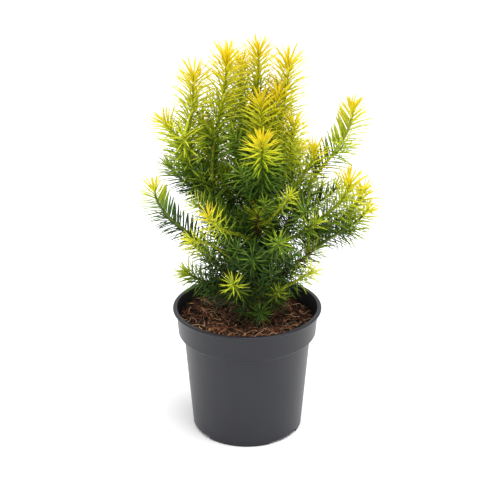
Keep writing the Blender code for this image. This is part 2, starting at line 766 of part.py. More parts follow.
def tone_of(limb):
    """Golden at the top, yellow-green outside and green low down inside."""
    tip = limb.points[-1]
    if tip.z > GOLDEN_ABOVE:
        return "golden"
    outward = math.hypot(tip.x - CROWN_AXIS[0] * MM, tip.y - CROWN_AXIS[1] * MM)
    return "lime" if outward > LIME_BEYOND else "green"


def build():
    clear_scene()
    parts = new_collection("potted_yew")
    cutters = new_collection("cutters")
    materials = {
        name: new_material(name, colour, ROUGHNESS[name]) for name, colour in COLOURS.items()
    }
    make_pot(parts, cutters, materials["pot"])
    make_compost(parts, materials["compost"])

    trunk, boughs, shoots = plan_limbs()
    space = Space()
    trunk_mesh = limb_mesh(trunk, bevel_resolution=TRUNK_ROUNDNESS)
    flatten_foot(trunk_mesh, SOIL_LEVEL + GAP)
    finish_surface(trunk_mesh, materials["bark"])
    new_object("trunk", trunk_mesh, parts)
    space.add("trunk", trunk.segments())
    for name, bough in boughs.items():
        mesh = limb_mesh(bough, bevel_resolution=BOUGH_ROUNDNESS)
        finish_surface(mesh, materials["bark"])
        new_object(name, mesh, parts)
        space.add(name, bough.segments())

    section = section_curve(3)
    needle = needle_mesh()
    rng = random.Random(SEED)
    twigs = {}
    for name, stem in shoots.items():
        space.add(name, stem.segments())
    for name, stem in shoots.items():
        twigs[name] = side_twigs(stem, rng, space, name)
        for twig in twigs[name]:
            space.add(name, twig.segments())
    for name, stem in shoots.items():
        matrices = place_needles(stem, STEM_BARE_SHARE, rng, space, name)
        for twig in twigs[name]:
            matrices += place_needles(twig, TWIG_BARE_SHARE, rng, space, name)
        material = materials[tone_of(stem)]
        fuse_shoot(name, stem, twigs[name], matrices, needle, section, parts, material)
    bpy.data.objects.remove(section, do_unlink=True)
    return parts


build()
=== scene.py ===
"""A young golden yew in its nursery pot, dressed for a studio picture.

The pot, compost, bark and needles are modelled round the fixed frame, in metres,
+Z up, front towards -Y. Limbs grow by the same rule as the solids they replace.
"""

import math
import random
from collections import namedtuple

import bmesh
import bpy
import numpy as np
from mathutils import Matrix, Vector, noise


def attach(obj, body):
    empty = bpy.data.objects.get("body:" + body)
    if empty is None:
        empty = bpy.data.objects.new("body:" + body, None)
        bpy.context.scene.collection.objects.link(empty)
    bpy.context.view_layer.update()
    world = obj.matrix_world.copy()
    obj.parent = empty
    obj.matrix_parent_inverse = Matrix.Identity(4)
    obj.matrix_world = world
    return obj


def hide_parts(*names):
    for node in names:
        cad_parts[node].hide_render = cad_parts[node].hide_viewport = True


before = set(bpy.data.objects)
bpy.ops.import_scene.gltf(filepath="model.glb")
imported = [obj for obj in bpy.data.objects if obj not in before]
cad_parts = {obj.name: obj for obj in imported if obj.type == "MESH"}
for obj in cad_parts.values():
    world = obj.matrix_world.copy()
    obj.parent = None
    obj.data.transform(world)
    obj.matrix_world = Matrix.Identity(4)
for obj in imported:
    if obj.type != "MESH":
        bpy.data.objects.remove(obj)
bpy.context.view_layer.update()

MM = 0.001
UP = Vector((0.0, 0.0, 1.0))
ACROSS = Vector((1.0, 0.0, 0.0))
NEARLY_UPRIGHT = 0.2
SEED = 127
GAP = 0.3 * MM
GOLDEN_ANGLE = math.radians(137.508)

# ---- sizes

# Pot
POT_HEIGHT = 132 * MM
RIM_RADIUS = 75 * MM
RIM_THICKNESS = 3 * MM
BAND_TOP_RADIUS = 71.4 * MM
BAND_FOOT_RADIUS = 69.7 * MM
BAND_FOOT_HEIGHT = 105.5 * MM
SHOULDER_HEIGHT = 101 * MM
WALL_TOP_RADIUS = 64.0 * MM
WALL_FOOT_RADIUS = 55.9 * MM
WALL = 1.4 * MM
FLOOR_UNDERSIDE = 4 * MM
FLOOR_TOP = 5.5 * MM
FOOT_RING_WIDTH = 2.4 * MM
PAD_RADIUS = 12 * MM
CORNER = 1.6 * MM
POT_SIDES = 180
THIN_WALL = 0.8 * MM
NOTCH_ANGLES = (-63.0, 44.0, 170.0)
NOTCH_WIDTH = 38 * MM
NOTCH_HEIGHT = 3.4 * MM

# Compost
SOIL_LEVEL = 118.5 * MM
SOIL_ROUGHNESS = 3.2 * MM
SOIL_GRAIN = 19 * MM
SOIL_LEVEL_RADIUS = 13 * MM
SOIL_TILT = 0.03
SOIL_SEED_HEIGHT = 0.7

# Trunk
TRUNK_FOOT = (6.5, 5.0, 118.5)
TRUNK_KNEE = (9.0, 1.0, 160.0)
TRUNK_BEND = (5.5, -3.5, 196.0)
TRUNK_TIP = (11.5, -11.5, 236.0)
TRUNK_RADIUS = 3.6 * MM
TRUNK_TIP_RADIUS = 2.0 * MM
TRUNK_FLARE = 2.2 * MM
FLARE_HEIGHT = 7 * MM
CROWN_AXIS = (5.0, 4.0)

TRUNK_CROWDING = 1.3

CURVE_PULL = 0.36
COLLAR_SHARE = 1.1
SIDE_RISE = 0.75
BOUGH_RADIUS = 2.0 * MM
BOUGH_TIP_RADIUS = 1.25 * MM
STEM_RADIUS = 1.75 * MM
STEM_TIP_RADIUS = 1.15 * MM
TWIG_RADIUS = 0.9 * MM
TWIG_TIP_RADIUS = 0.6 * MM
FINE_TWIG_RADIUS = 0.75 * MM
FINE_TWIG_TIP_RADIUS = 0.5 * MM
COLLAR_FLARE_LENGTH = 4 * MM
TRUNK_STATIONS = 60
BOUGH_STATIONS = 26
STEM_STATIONS = 22
TWIG_STATIONS = 9
FINE_TWIG_STATIONS = 8

# How a stem bears its needles. In turn: the stem length for each, how they crowd at the tip,
# how soon they open, how soon they darken, how dark they end, their width, their length at the
# tip, their angle at the tip and further down, their curl at both, and how often they are
# pulled towards two ranks.
Habit = namedtuple(
    "Habit", "spacing crowding run fade oldest width tip_length tip_opening opening tip_curl curl rank"
)
PLUME = Habit(0.56 * MM, 1.35, 5.0 * MM, 135 * MM, 0.88, 1.0, 0.74, 24, 46, 2, 26, 0)
GOLD_COMB = Habit(0.84 * MM, 2.1, 5.0 * MM, 80 * MM, 0.88, 0.98, 0.76, 20, 46, 2, 14, 5)
DARK_COMB = Habit(0.86 * MM, 1.8, 5.0 * MM, 44 * MM, 0.88, 1.0, 0.76, 22, 48, 2, 14, 5)
SHORT_PLUME = Habit(0.6 * MM, 1.35, 5.0 * MM, 84 * MM, 0.88, 0.95, 0.72, 24, 45, 2, 26, 0)
COLUMN = Habit(0.34 * MM, 1.2, 6.0 * MM, 34 * MM, 0.6, 0.98, 0.6, 18, 62, 2, 30, 0)
SPRAY = Habit(0.85 * MM, 1.3, 5.0 * MM, 90 * MM, 0.88, 0.74, 0.74, 28, 52, 4, 26, 0)
STAR = Habit(0.9 * MM, 1.6, 5.0 * MM, 80 * MM, 0.88, 0.62, 0.9, 34, 66, 4, 22, 0)
FILL = Habit(1.05 * MM, 1.2, 5.0 * MM, 90 * MM, 0.88, 0.88, 0.74, 24, 50, 4, 28, 0)

# Boughs: share of the trunk's length where each leaves, azimuth, reach, height, lift.
BOUGHS = {
    "bough_left": (0.50, 177, 39, 262, 0.85),
    "bough_left_low": (0.34, -165, 47, 195, 0.3),
    "bough_left_back": (0.55, 160, 36, 226, 0.3),
    "bough_centre": (0.80, 75, 12, 300, 0.8),
    "bough_centre_right": (0.88, 4, 25, 300, 0.8),
    "bough_right": (0.64, -8, 56, 262, 0.15),
    "bough_right_low": (0.36, -20, 66, 202, 0.15),
    "bough_right_back": (0.59, 17, 44, 217, 0.3),
    "bough_back_left": (0.65, 128, 40, 242, 0.5),
    "bough_back": (0.73, 92, 38, 262, 0.5),
    "bough_back_right": (0.46, 54, 42, 232, 0.5),
}

# Shoots: azimuth, reach, height and lift, after bough and share where they leave a bough.
# Then the look: habit, needle size and glow, where 1 is pure gold at the tip and 0 or less
# stays deep green.
LEADER = (-78, 43, 315, 0.4, COLUMN, 0.9, 0.88)
BOUGH_SHOOTS = {
    "shoot_top_left_outer": ("bough_left", 0.93, 179, 55, 367, 0.9, PLUME, 1.06, 0.95),
    "shoot_top_left": ("bough_left", 1.00, -175, 24, 385, 0.9, PLUME, 1.1, 1.0),
    "shoot_left_high": ("bough_left", 0.80, 176, 83, 320, -0.2, SHORT_PLUME, 0.95, 0.8),
    "shoot_top_back": ("bough_centre", 0.86, 112, 28, 372, 0.9, PLUME, 0.88, 1.0),
    "shoot_top_centre": ("bough_centre", 1.00, 54, 10, 389, 0.9, PLUME, 0.95, 1.0),
    "shoot_front_high": ("bough_centre", 0.70, -62, 18, 346, 0.9, SHORT_PLUME, 0.88, 0.92),
    "shoot_top_right": ("bough_centre_right", 1.00, 7, 34, 380, 0.9, PLUME, 1.06, 1.0),
    "shoot_inner_right": ("bough_centre_right", 0.85, -18, 25, 352, 0.9, PLUME, 0.88, 0.95),
    "shoot_upper_right": ("bough_centre_right", 0.70, -20, 42, 324, 0.6, PLUME, 0.84, 0.88),
    "shoot_right_high": ("bough_right", 1.00, -2, 95, 335, 0.99, GOLD_COMB, 0.87, 0.86),
    "shoot_right_inner": ("bough_right", 0.76, -13, 60, 296, 0.9, SHORT_PLUME, 0.92, 0.84),
    "shoot_right_low": ("bough_right_low", 1.00, -12, 112, 240, 0.3, DARK_COMB, 0.72, 0.7),
    "shoot_right_front": ("bough_right_low", 0.93, -18, 97, 272, 0.85, SHORT_PLUME, 1.02, 0.88),
    "shoot_right_outer": ("bough_right_low", 0.84, -9, 107, 256, 0.7, SHORT_PLUME, 0.94, 0.8),
    "shoot_right_back": ("bough_right_back", 1.00, 12, 84, 249, 0.3, DARK_COMB, 0.62, -0.2),
    "shoot_left_low": ("bough_left_low", 1.00, -169, 96, 261, 0.85, DARK_COMB, 0.76, 0.7),
    "shoot_left_back": ("bough_left_back", 1.00, 165, 83, 269, 0.3, DARK_COMB, 0.8, 0.0),
}
TRUNK_SHOOTS = {
    "shoot_front_right": (-33, 72, 236, 0.3, SPRAY, 0.64, 0.35),
    "shoot_front_small": (-53, 59, 266, 0.1, SPRAY, 0.5, 0.5),
    "shoot_front_rosette": (-69, 70, 226, 0.2, STAR, 0.6, 0.0),
    "shoot_right_rim": (-38, 74, 188, 0.2, SPRAY, 0.66, 0.6),
    "shoot_front_middle": (-90, 50, 202, 0.2, STAR, 0.66, -0.35),
    "shoot_front_low": (-109, 58, 178, 0.2, STAR, 0.6, 0.42),
    "shoot_low_right": (-54, 44, 161, 0.3, STAR, 0.5, 0.15),
    "shoot_lowest": (-80, 47, 143, 0.2, STAR, 0.56, -0.45),
    "shoot_left_rim": (-163, 67, 174, 0.1, PLUME, 0.78, 0.2),
    "shoot_front_left": (-129, 66, 246, 0.5, SPRAY, 0.72, 0.9),
    "shoot_left_small": (-153, 62, 250, 0.2, SPRAY, 0.72, 0.3),
    "shoot_left_droop": (-145, 71, 216, -0.3, SPRAY, 0.72, 0.6),
}
TRUNK_SHOOT_RISE = 0.5
TRUNK_SHOOT_LOWEST = 0.09
TRUNK_SHOOT_HIGHEST = 0.93
BACK_BOUGHS = ("bough_back_left", "bough_back", "bough_back_right")
# The three shoots of each: as above, with azimuth, reach and height against the bough's tip.
BACK_FAN = (
    (1.00, 0, 38, 42, 0.5, PLUME, 0.86, 0.85),
    (0.84, -34, 32, 18, 0.5, SPRAY, 0.74, 0.5),
    (0.70, 22, 14, 66, 0.9, PLUME, 0.92, 0.95),
)
LOW_BACK_COUNT = 5
LOW_BACK_FIRST_AZIMUTH = 18
LOW_BACK_STEP = 34
LOW_BACK_REACH = (70, 58)
LOW_BACK_HEIGHT = (189, 164)
LOW_BACK_LIFT_AND_LOOK = (0.3, SPRAY, 0.64, 0.3)

# Side twigs
TWIG_SPACING = 30 * MM
TWIG_STEM_SHORTEST = 48 * MM
TWIG_FIRST = 0.16
TWIG_LAST = 0.5
TWIG_STAGGER = (0.3, 0.7)
TWIG_LENGTH_SPREAD = (0.8, 1.1)
TWIG_OPENING = 48.0
TWIG_OPENING_SPREAD = 8.0
TWIG_AROUND = (-0.5, 0.6)
TWIG_RISE = 0.2
TWIG_LIFT = 0.6
TWIG_SHARE = 0.42
TWIG_LONGEST = 34 * MM

# Needles: the longest, and the shape of each.
NEEDLE_LENGTH = 30 * MM
NEEDLE_WIDTH = 1.66 * MM
NEEDLE_THICKNESS = 0.95 * MM
NEEDLE_STATIONS = (0.0, 0.14, 0.42, 0.74, 1.0)
NEEDLE_WIDTHS = (0.5, 0.85, 1.0, 0.72, 0.0)
TONE_COUNT = 16
FADE_BEND = 1.5
QUICK_FADE = 0.09
DULL_TIP = 0.55
AGE_LOW_DOWN = 0.2
# Painted shade: low down, needles deep inside the crown get darker tones, as if shaded.
PAINTED_SHADE_DEEP_INSIDE = 0.22
AGE_FROM_STEM = 0.85
AGE_OUTSIDE = 0.2
NEEDLE_EDGE_THICKNESS = 0.35
NEEDLE_TIP_RING = 2
NEEDLE_SHARP_EDGE = 50
FEWEST_NEEDLES = 10
FIRST_NEEDLE = 0.2
TURN_SPREAD = (-0.2, 0.2)
LENGTH_SPREAD = (0.9, 1.06)
FOOT_LENGTH = 0.72
FOOT_ZONE = (0.0, 0.2)
WIDTH_SPREAD = (0.88, 1.08)
OPENING_SPREAD = (-4, 4)
TIP_OPENING_SPREAD = (-8, 12)
CURL_SPREAD = (-5, 6)
ROLL_SPREAD = 24
TONE_SPREAD = 0.03
TIP_CONTRAST = 0.05
QUICK_FADE_ZONE = (4 * MM, 14 * MM)
YOUNG_ZONE = (4 * MM, 26 * MM)
LOW_TO_HIGH = (180 * MM, 310 * MM)
INSIDE_TO_OUTSIDE = (15 * MM, 70 * MM)

RANK_PULL = 0.45
RANK_PLANE = math.radians(90)
RANKS_FORM = (5 * MM, 22 * MM)
UPPER_RANK_WIDTH = 1.5
LOWER_RANK_WIDTH = 1.15
UPPER_RANK_STRAIGHTER = 0.7
UPPER_RANK_ROLL = 62
LOWER_RANK_CURL = 0.8

# Fine twigs: spacing, shortest and longest, and the shares of the limb that bear them.
FINE_ON_SHOOTS = (15 * MM, 18 * MM, 30 * MM, 0.04, 0.34)
FINE_ON_SHORT = (14 * MM, 16 * MM, 24 * MM, 0.04, 0.24)
FINE_ON_COMBS = (14 * MM, 14 * MM, 20 * MM, 0.0, 0.14)
FINE_ON_BOUGHS = (10 * MM, 18 * MM, 28 * MM, 0.08, 0.45)
FINE_ON_INNER_BOUGHS = (7 * MM, 18 * MM, 30 * MM, 0.1, 0.95)
INNER_BOUGH_REACH = 39
FINE_ON_TRUNK = (8 * MM, 20 * MM, 30 * MM, 0.4, 0.78)
FINE_STAGGER = (0.1, 0.9)
FINE_TURN_SPREAD = (-0.3, 0.3)
FINE_OPENING = (34, 58)
FINE_RISE = (0.35, 0.8)
FINE_ARRIVAL = 0.5

# ---- limbs

class Limb:
    """A tapering path: its stations, their radii and its length."""

    def __init__(self, points, radii):
        self.points = points
        self.radii = radii
        self.length = sum((b - a).length for a, b in zip(points, points[1:]))

    def at(self, share):
        """Place, direction and radius at a share of the number of stations."""
        scaled = min(max(share, 0.0), 1.0) * (len(self.points) - 1)
        index = min(int(scaled), len(self.points) - 2)
        part = scaled - index
        start, end = self.points[index], self.points[index + 1]
        radius = self.radii[index] * (1 - part) + self.radii[index + 1] * part
        return start.lerp(end, part), (end - start).normalized(), radius


def crown_point(azimuth, reach, height):
    """A place given in degrees and millimetres about the crown's middle line."""
    turn = math.radians(azimuth)
    x = CROWN_AXIS[0] + reach * math.cos(turn)
    y = CROWN_AXIS[1] + reach * math.sin(turn)
    return Vector((x, y, height)) * MM


def cubic(start, near, far, end, t):
    s = 1 - t
    return s ** 3 * start + 3 * s * s * t * near + 3 * s * t * t * far + t ** 3 * end


def curved_path(start, heading, end, arrival, stations):
    """A cubic curve that leaves along heading and arrives along arrival."""
    pull = CURVE_PULL * (end - start).length
    near = start + heading * pull
    far = end - arrival * pull
    return [cubic(start, near, far, end, i / (stations - 1)) for i in range(stations)]


def taper(first, last, stations):
    return [first + (last - first) * i / (stations - 1) for i in range(stations)]


def grow_from(carrier, share, end, lift, base_radius, tip_radius, stations):
    """A limb that meets its carrier: end to end at a tip, else rooted in its side."""
    place, along, radius = carrier.at(share)
    line = (end - place).normalized()
    arrival = (line * (1 - abs(lift)) + UP * lift).normalized()
    if share >= 1.0:
        path = curved_path(place, along, end, arrival, stations)
    else:
        out = (line - along * line.dot(along)).normalized()
        start = place + out * (radius + GAP)
        collar = start + out * COLLAR_SHARE * base_radius
        rising = (out + UP * SIDE_RISE).normalized()
        path = [place.copy()] + curved_path(collar, rising, end, arrival, stations)
    return Limb(path, taper(base_radius, tip_radius, len(path)))


def make_trunk_limb():
    foot, knee, bend, tip = (Vector(p) * MM for p in (TRUNK_FOOT, TRUNK_KNEE, TRUNK_BEND, TRUNK_TIP))
    path = []
    radii = []
    for index in range(TRUNK_STATIONS):
        t = (index / (TRUNK_STATIONS - 1)) ** TRUNK_CROWDING
        point = cubic(foot, knee, bend, tip, t)
        radius = TRUNK_RADIUS + (TRUNK_TIP_RADIUS - TRUNK_RADIUS) * t
        radius += TRUNK_FLARE * math.exp(-(point.z - foot.z) / FLARE_HEIGHT)
        path.append(point)
        radii.append(radius)
    return Limb(path, radii)


def shoot_limb(carrier, share, azimuth, reach, height, lift, *look):
    """One shoot: its stem, and the look that goes with it."""
    end = crown_point(azimuth, reach, height)
    return grow_from(carrier, share, end, lift, STEM_RADIUS, STEM_TIP_RADIUS, STEM_STATIONS), look


def plan_limbs():
    """The trunk, the boughs by name, and stem and look of all shoots by name."""
    trunk = make_trunk_limb()
    boughs = {}
    for name, (share, azimuth, reach, height, lift) in BOUGHS.items():
        end = crown_point(azimuth, reach, height)
        boughs[name] = grow_from(trunk, share, end, lift, BOUGH_RADIUS, BOUGH_TIP_RADIUS, BOUGH_STATIONS)
    shoots = {"shoot_leader": shoot_limb(trunk, 1.0, *LEADER)}
    for name, (bough, share, *place) in BOUGH_SHOOTS.items():
        shoots[name] = shoot_limb(boughs[bough], share, *place)
    rows = dict(TRUNK_SHOOTS)
    for index in range(LOW_BACK_COUNT):
        azimuth = LOW_BACK_FIRST_AZIMUTH + LOW_BACK_STEP * index
        odd = index % 2
        name = f"shoot_low_back_{index + 1}"
        rows[name] = (azimuth, LOW_BACK_REACH[odd], LOW_BACK_HEIGHT[odd], *LOW_BACK_LIFT_AND_LOOK)
    trunk_height = TRUNK_TIP[2] - TRUNK_FOOT[2]
    for name, (azimuth, reach, height, *rest) in rows.items():
        leaves_at = (height - TRUNK_SHOOT_RISE * reach - TRUNK_FOOT[2]) / trunk_height
        share = min(max(leaves_at, TRUNK_SHOOT_LOWEST), TRUNK_SHOOT_HIGHEST)
        shoots[name] = shoot_limb(trunk, share, azimuth, reach, height, *rest)
    for bough in BACK_BOUGHS:
        _, azimuth, reach, height, _ = BOUGHS[bough]
        side = bough.replace("bough_", "")
        for number, (share, turn, further, higher, *rest) in enumerate(BACK_FAN, 1):
            place = (azimuth + turn, reach + further, height + higher)
            shoots[f"shoot_{side}_{number}"] = shoot_limb(boughs[bough], share, *place, *rest)
    return trunk, boughs, shoots


def side_frames(limb):
    """At each station the stem's direction, a level side direction and its upper side."""
    points = limb.points
    side = None
    frames = []
    for index, point in enumerate(points):
        ahead = points[min(index + 1, len(points) - 1)]
        behind = points[max(index - 1, 0)]
        along = (ahead - behind).normalized()
        if side is None:
            side = along.cross(UP)
            if side.length < NEARLY_UPRIGHT:
                side = ACROSS.copy()
        side = (side - along * side.dot(along)).normalized()
        frames.append((point, along, side, side.cross(along)))
    return frames


def outwards(side, upper, around):
    """The direction square to a stem at an angle round it."""
    return side * math.cos(around) + upper * math.sin(around)


def frame_at(frames, share):
    scaled = share * (len(frames) - 1)
    index = min(int(scaled), len(frames) - 2)
    part = scaled - index
    return [a.lerp(b, part) for a, b in zip(frames[index], frames[index + 1])]


def side_twigs(limb, rng):
    """Twigs that leave the stem by turns to its left and right and bend upwards."""
    frames = side_frames(limb)
    count = max(1, round(limb.length * (TWIG_LAST - TWIG_FIRST) / TWIG_SPACING))
    if limb.length < TWIG_STEM_SHORTEST:
        count = 0
    hand = rng.choice((-1, 1))
    twigs = []
    for index in range(count):
        step = (index + rng.uniform(*TWIG_STAGGER)) / count
        share = TWIG_FIRST + (TWIG_LAST - TWIG_FIRST) * step
        place, along, side, upper = frame_at(frames, share)
        hand = -hand
        around = rng.uniform(*TWIG_AROUND)
        out = side * hand * math.cos(around) + upper * math.sin(around)
        spread = rng.uniform(-TWIG_OPENING_SPREAD, TWIG_OPENING_SPREAD)
        opening = math.radians(TWIG_OPENING + spread)
        heading = (along * math.cos(opening) + out * math.sin(opening)).normalized()
        length = min(TWIG_LONGEST, TWIG_SHARE * limb.length) * rng.uniform(*TWIG_LENGTH_SPREAD)
        end = place + (heading + UP * TWIG_RISE) * length
        arrival = (heading + UP * TWIG_LIFT).normalized()
        path = curved_path(place, heading, end, arrival, TWIG_STATIONS)
        twigs.append(Limb(path, taper(TWIG_RADIUS, TWIG_TIP_RADIUS, TWIG_STATIONS)))
    return twigs


# ---- meshes

# Every material by its finish, filled in before the first mesh is built.
MATERIALS = {}


def new_object(name, data):
    """An object that holds the data, linked to the scene."""
    thing = bpy.data.objects.new(name, data)
    bpy.context.scene.collection.objects.link(thing)
    return thing


def mesh_of(bm, name):
    mesh = bpy.data.meshes.new(name)
    bm.to_mesh(mesh)
    bm.free()
    return mesh


def smooth_up_to(mesh, angle):
    """Smooth shading, with a sharp edge where faces meet at more than the angle."""
    mesh.shade_smooth()
    mesh.set_sharp_from_angle(angle=math.radians(angle))


class Batch:
    """Vertices and faces of many small pieces, gathered for one mesh."""

    def __init__(self):
        self.verts = []
        self.faces = []
        self.tones = []
        self.count = 0

    def add(self, verts, faces, tone=0):
        """verts (n, 3), faces as rows of indices; tone is one number or one per face."""
        self.verts.append(np.asarray(verts, dtype=np.float64))
        for row in faces:
            self.faces.append([index + self.count for index in row])
        self.tones += [tone] * len(faces) if np.isscalar(tone) else list(tone)
        self.count += len(verts)

    def build(self, name, finishes, smooth_angle):
        mesh = bpy.data.meshes.new(name)
        mesh.from_pydata(np.vstack(self.verts).tolist(), [], self.faces)
        for finish in finishes:
            mesh.materials.append(MATERIALS[finish])
        mesh.polygons.foreach_set("material_index", np.array(self.tones, dtype=np.int32))
        mesh.update()
        smooth_up_to(mesh, smooth_angle)
        return new_object(name, mesh)


def tube_faces(rings, sides):
    faces = []
    for r in range(rings - 1):
        for k in range(sides):
            a = r * sides + k
            b = r * sides + (k + 1) % sides
            faces.append((a, b, b + sides, a + sides))
    faces.append(tuple(reversed(range(sides))))
    faces.append(tuple(range((rings - 1) * sides, rings * sides)))
    return faces


def tube(limb, sides, relief=None, flare=0.0):
    """A closed tube along a limb, flared at its foot; relief(place) moves its skin."""
    verts = []
    frames = side_frames(limb)
    run = 0.0
    for index, (point, along, side, upper) in enumerate(frames):
        if index:
            run += (point - frames[index - 1][0]).length
        radius = limb.radii[index] * (1 + flare * math.exp(-run / COLLAR_FLARE_LENGTH))
        for k in range(sides):
            around = 2 * math.pi * k / sides
            out = outwards(side, upper, around)
            skin = radius + relief(point + out * radius) if relief else radius
            verts.append(point + out * skin)
    return [tuple(v) for v in verts], tube_faces(len(frames), sides)


# ---- needles

TONE, TIP_TONE = 14, 15


class Foliage:
    """A row of numbers for each needle; its last two are the tones of body and tip."""

    def __init__(self):
        self.rows = []

    def add(self, root, along, out, length, width, opening, curl, roll, tone, tip_tone):
        self.rows.append((*root, *along, *out, length, width, opening, curl, roll, tone, tip_tone))

    def of_tones(self, low, high):
        """The rows of all needles whose body has one of these tones."""
        rows = np.array(self.rows)
        return rows[(rows[:, TONE] >= low) & (rows[:, TONE] <= high)]


def unit(vectors):
    return vectors / np.maximum(np.linalg.norm(vectors, axis=-1, keepdims=True), 1e-9)


def needle_points(rows):
    """Vertices of curved blades of four-sided section, each ending in one point."""
    root, along, out = rows[:, 0:3], rows[:, 3:6], rows[:, 6:9]
    length, width, opening, curl, roll = (rows[:, i][:, None] for i in range(9, TONE))
    stations = np.array(NEEDLE_STATIONS)
    widths = np.array(NEEDLE_WIDTHS)
    angle = opening[:, None, :] + curl[:, None, :] * stations[None, :, None]
    heading = np.cos(angle) * along[:, None, :] + np.sin(angle) * out[:, None, :]
    steps = np.diff(stations)[None, :, None] * length[:, None, :]
    middle = (heading[:, 1:] + heading[:, :-1]) / 2 * steps
    centre = np.concatenate([np.zeros((len(rows), 1, 3)), np.cumsum(middle, axis=1)], axis=1)
    centre += root[:, None, :]
    across = np.broadcast_to(np.cross(along, out)[:, None, :], heading.shape)
    flat_side = np.cross(heading, across)
    wide = unit(across * np.cos(roll)[:, None, :] + flat_side * np.sin(roll)[:, None, :])
    upper = np.cross(heading, wide)
    half = (width / 2)[:, None, :] * widths[None, :, None]
    fullness = NEEDLE_EDGE_THICKNESS + (1 - NEEDLE_EDGE_THICKNESS) * widths
    thick = NEEDLE_THICKNESS / 2 * fullness[None, :, None]
    corners = [centre - wide * half, centre + upper * thick, centre + wide * half, centre - upper * thick]
    body = np.stack(corners, axis=2)[:, :-1].reshape(len(rows), -1, 3)
    return np.concatenate([body, centre[:, -1:, :]], axis=1)


def needle_faces(rows):
    """Four-sided and three-sided faces of all the blades, and the tone of each face."""
    rings = len(NEEDLE_STATIONS) - 1
    tip_point = rings * 4
    quads = []
    on_tip = []
    for r in range(rings - 1):
        for k in range(4):
            a, b = r * 4 + k, r * 4 + (k + 1) % 4
            quads.append((a, b, b + 4, a + 4))
            on_tip.append(r >= NEEDLE_TIP_RING)
    root_cap = (3, 2, 1, 0)
    last = tip_point - 4
    tips = [(last + k, last + (k + 1) % 4, tip_point) for k in range(4)]
    first = (np.arange(len(rows)) * (tip_point + 1))[:, None, None]
    quad_faces = (np.array(quads + [root_cap])[None] + first).reshape(-1, 4)
    tip_faces = (np.array(tips)[None] + first).reshape(-1, 3)
    young = np.array(on_tip + [False])[None, :]
    body_tones = np.where(young, rows[:, TIP_TONE, None], rows[:, TONE, None]).reshape(-1)
    tones = np.concatenate([body_tones, np.repeat(rows[:, TIP_TONE], 4)])
    return quad_faces, tip_faces, tones.astype(np.int32)


def needle_object(name, rows):
    """Curved blades, narrow at the root and pointed at the tip, as one mesh."""
    points = needle_points(rows).reshape(-1)
    quad_faces, tip_faces, tones = needle_faces(rows)
    loops = np.concatenate([quad_faces.reshape(-1), tip_faces.reshape(-1)])
    totals = np.concatenate([np.full(len(quad_faces), 4), np.full(len(tip_faces), 3)])
    starts = np.concatenate([[0], np.cumsum(totals)[:-1]])
    mesh = bpy.data.meshes.new(name)
    mesh.vertices.add(len(points) // 3)
    mesh.vertices.foreach_set("co", points)
    mesh.loops.add(len(loops))
    mesh.loops.foreach_set("vertex_index", loops.astype(np.int32))
    mesh.polygons.add(len(totals))
    mesh.polygons.foreach_set("loop_start", starts.astype(np.int32))
    used, slots = np.unique(tones, return_inverse=True)
    for tone in used:
        mesh.materials.append(MATERIALS[f"needle_tone_{tone}"])
    mesh.polygons.foreach_set("material_index", slots.astype(np.int32))
    mesh.update(calc_edges=True)
    mesh.validate()
    smooth_up_to(mesh, NEEDLE_SHARP_EDGE)
    return new_object(name, mesh)


def tone_of(age_and_shade, rng):
    """From a needle's ageing, 0 golden to 1 deep green, plus painted shade deep inside the crown, to the
    number of its colour.
    """
    spread = age_and_shade + rng.gauss(0, TONE_SPREAD)
    return int(min(max(spread, 0.0), 0.999) * TONE_COUNT)


def share_between(value, low, high):
    return min(max((value - low) / (high - low), 0.0), 1.0)


def outward_share(place):
    """0 at the crown's middle line, 1 at its outside."""
    reach = math.hypot(place.x - CROWN_AXIS[0] * MM, place.y - CROWN_AXIS[1] * MM)
    return share_between(reach, *INSIDE_TO_OUTSIDE)


def needle_age_and_shade(from_tip, place, youngest, habit):
    """0 golden to 1 deep green: older down the stem and low on the plant, and darker still deep inside the
    crown by painted shade.
    """
    faded = min(1.0, from_tip / habit.fade) ** FADE_BEND
    age_and_shade = youngest + (1 - youngest) * habit.oldest * faded
    age_and_shade += QUICK_FADE * share_between(from_tip, *QUICK_FADE_ZONE)
    low = 1 - share_between(place.z, *LOW_TO_HIGH)
    away = share_between(from_tip, *YOUNG_ZONE)
    # Low on the plant the needles are older; deep inside the crown painted shade darkens them further.
    return age_and_shade + away * low * (AGE_LOW_DOWN + PAINTED_SHADE_DEEP_INSIDE * (1 - outward_share(place)))


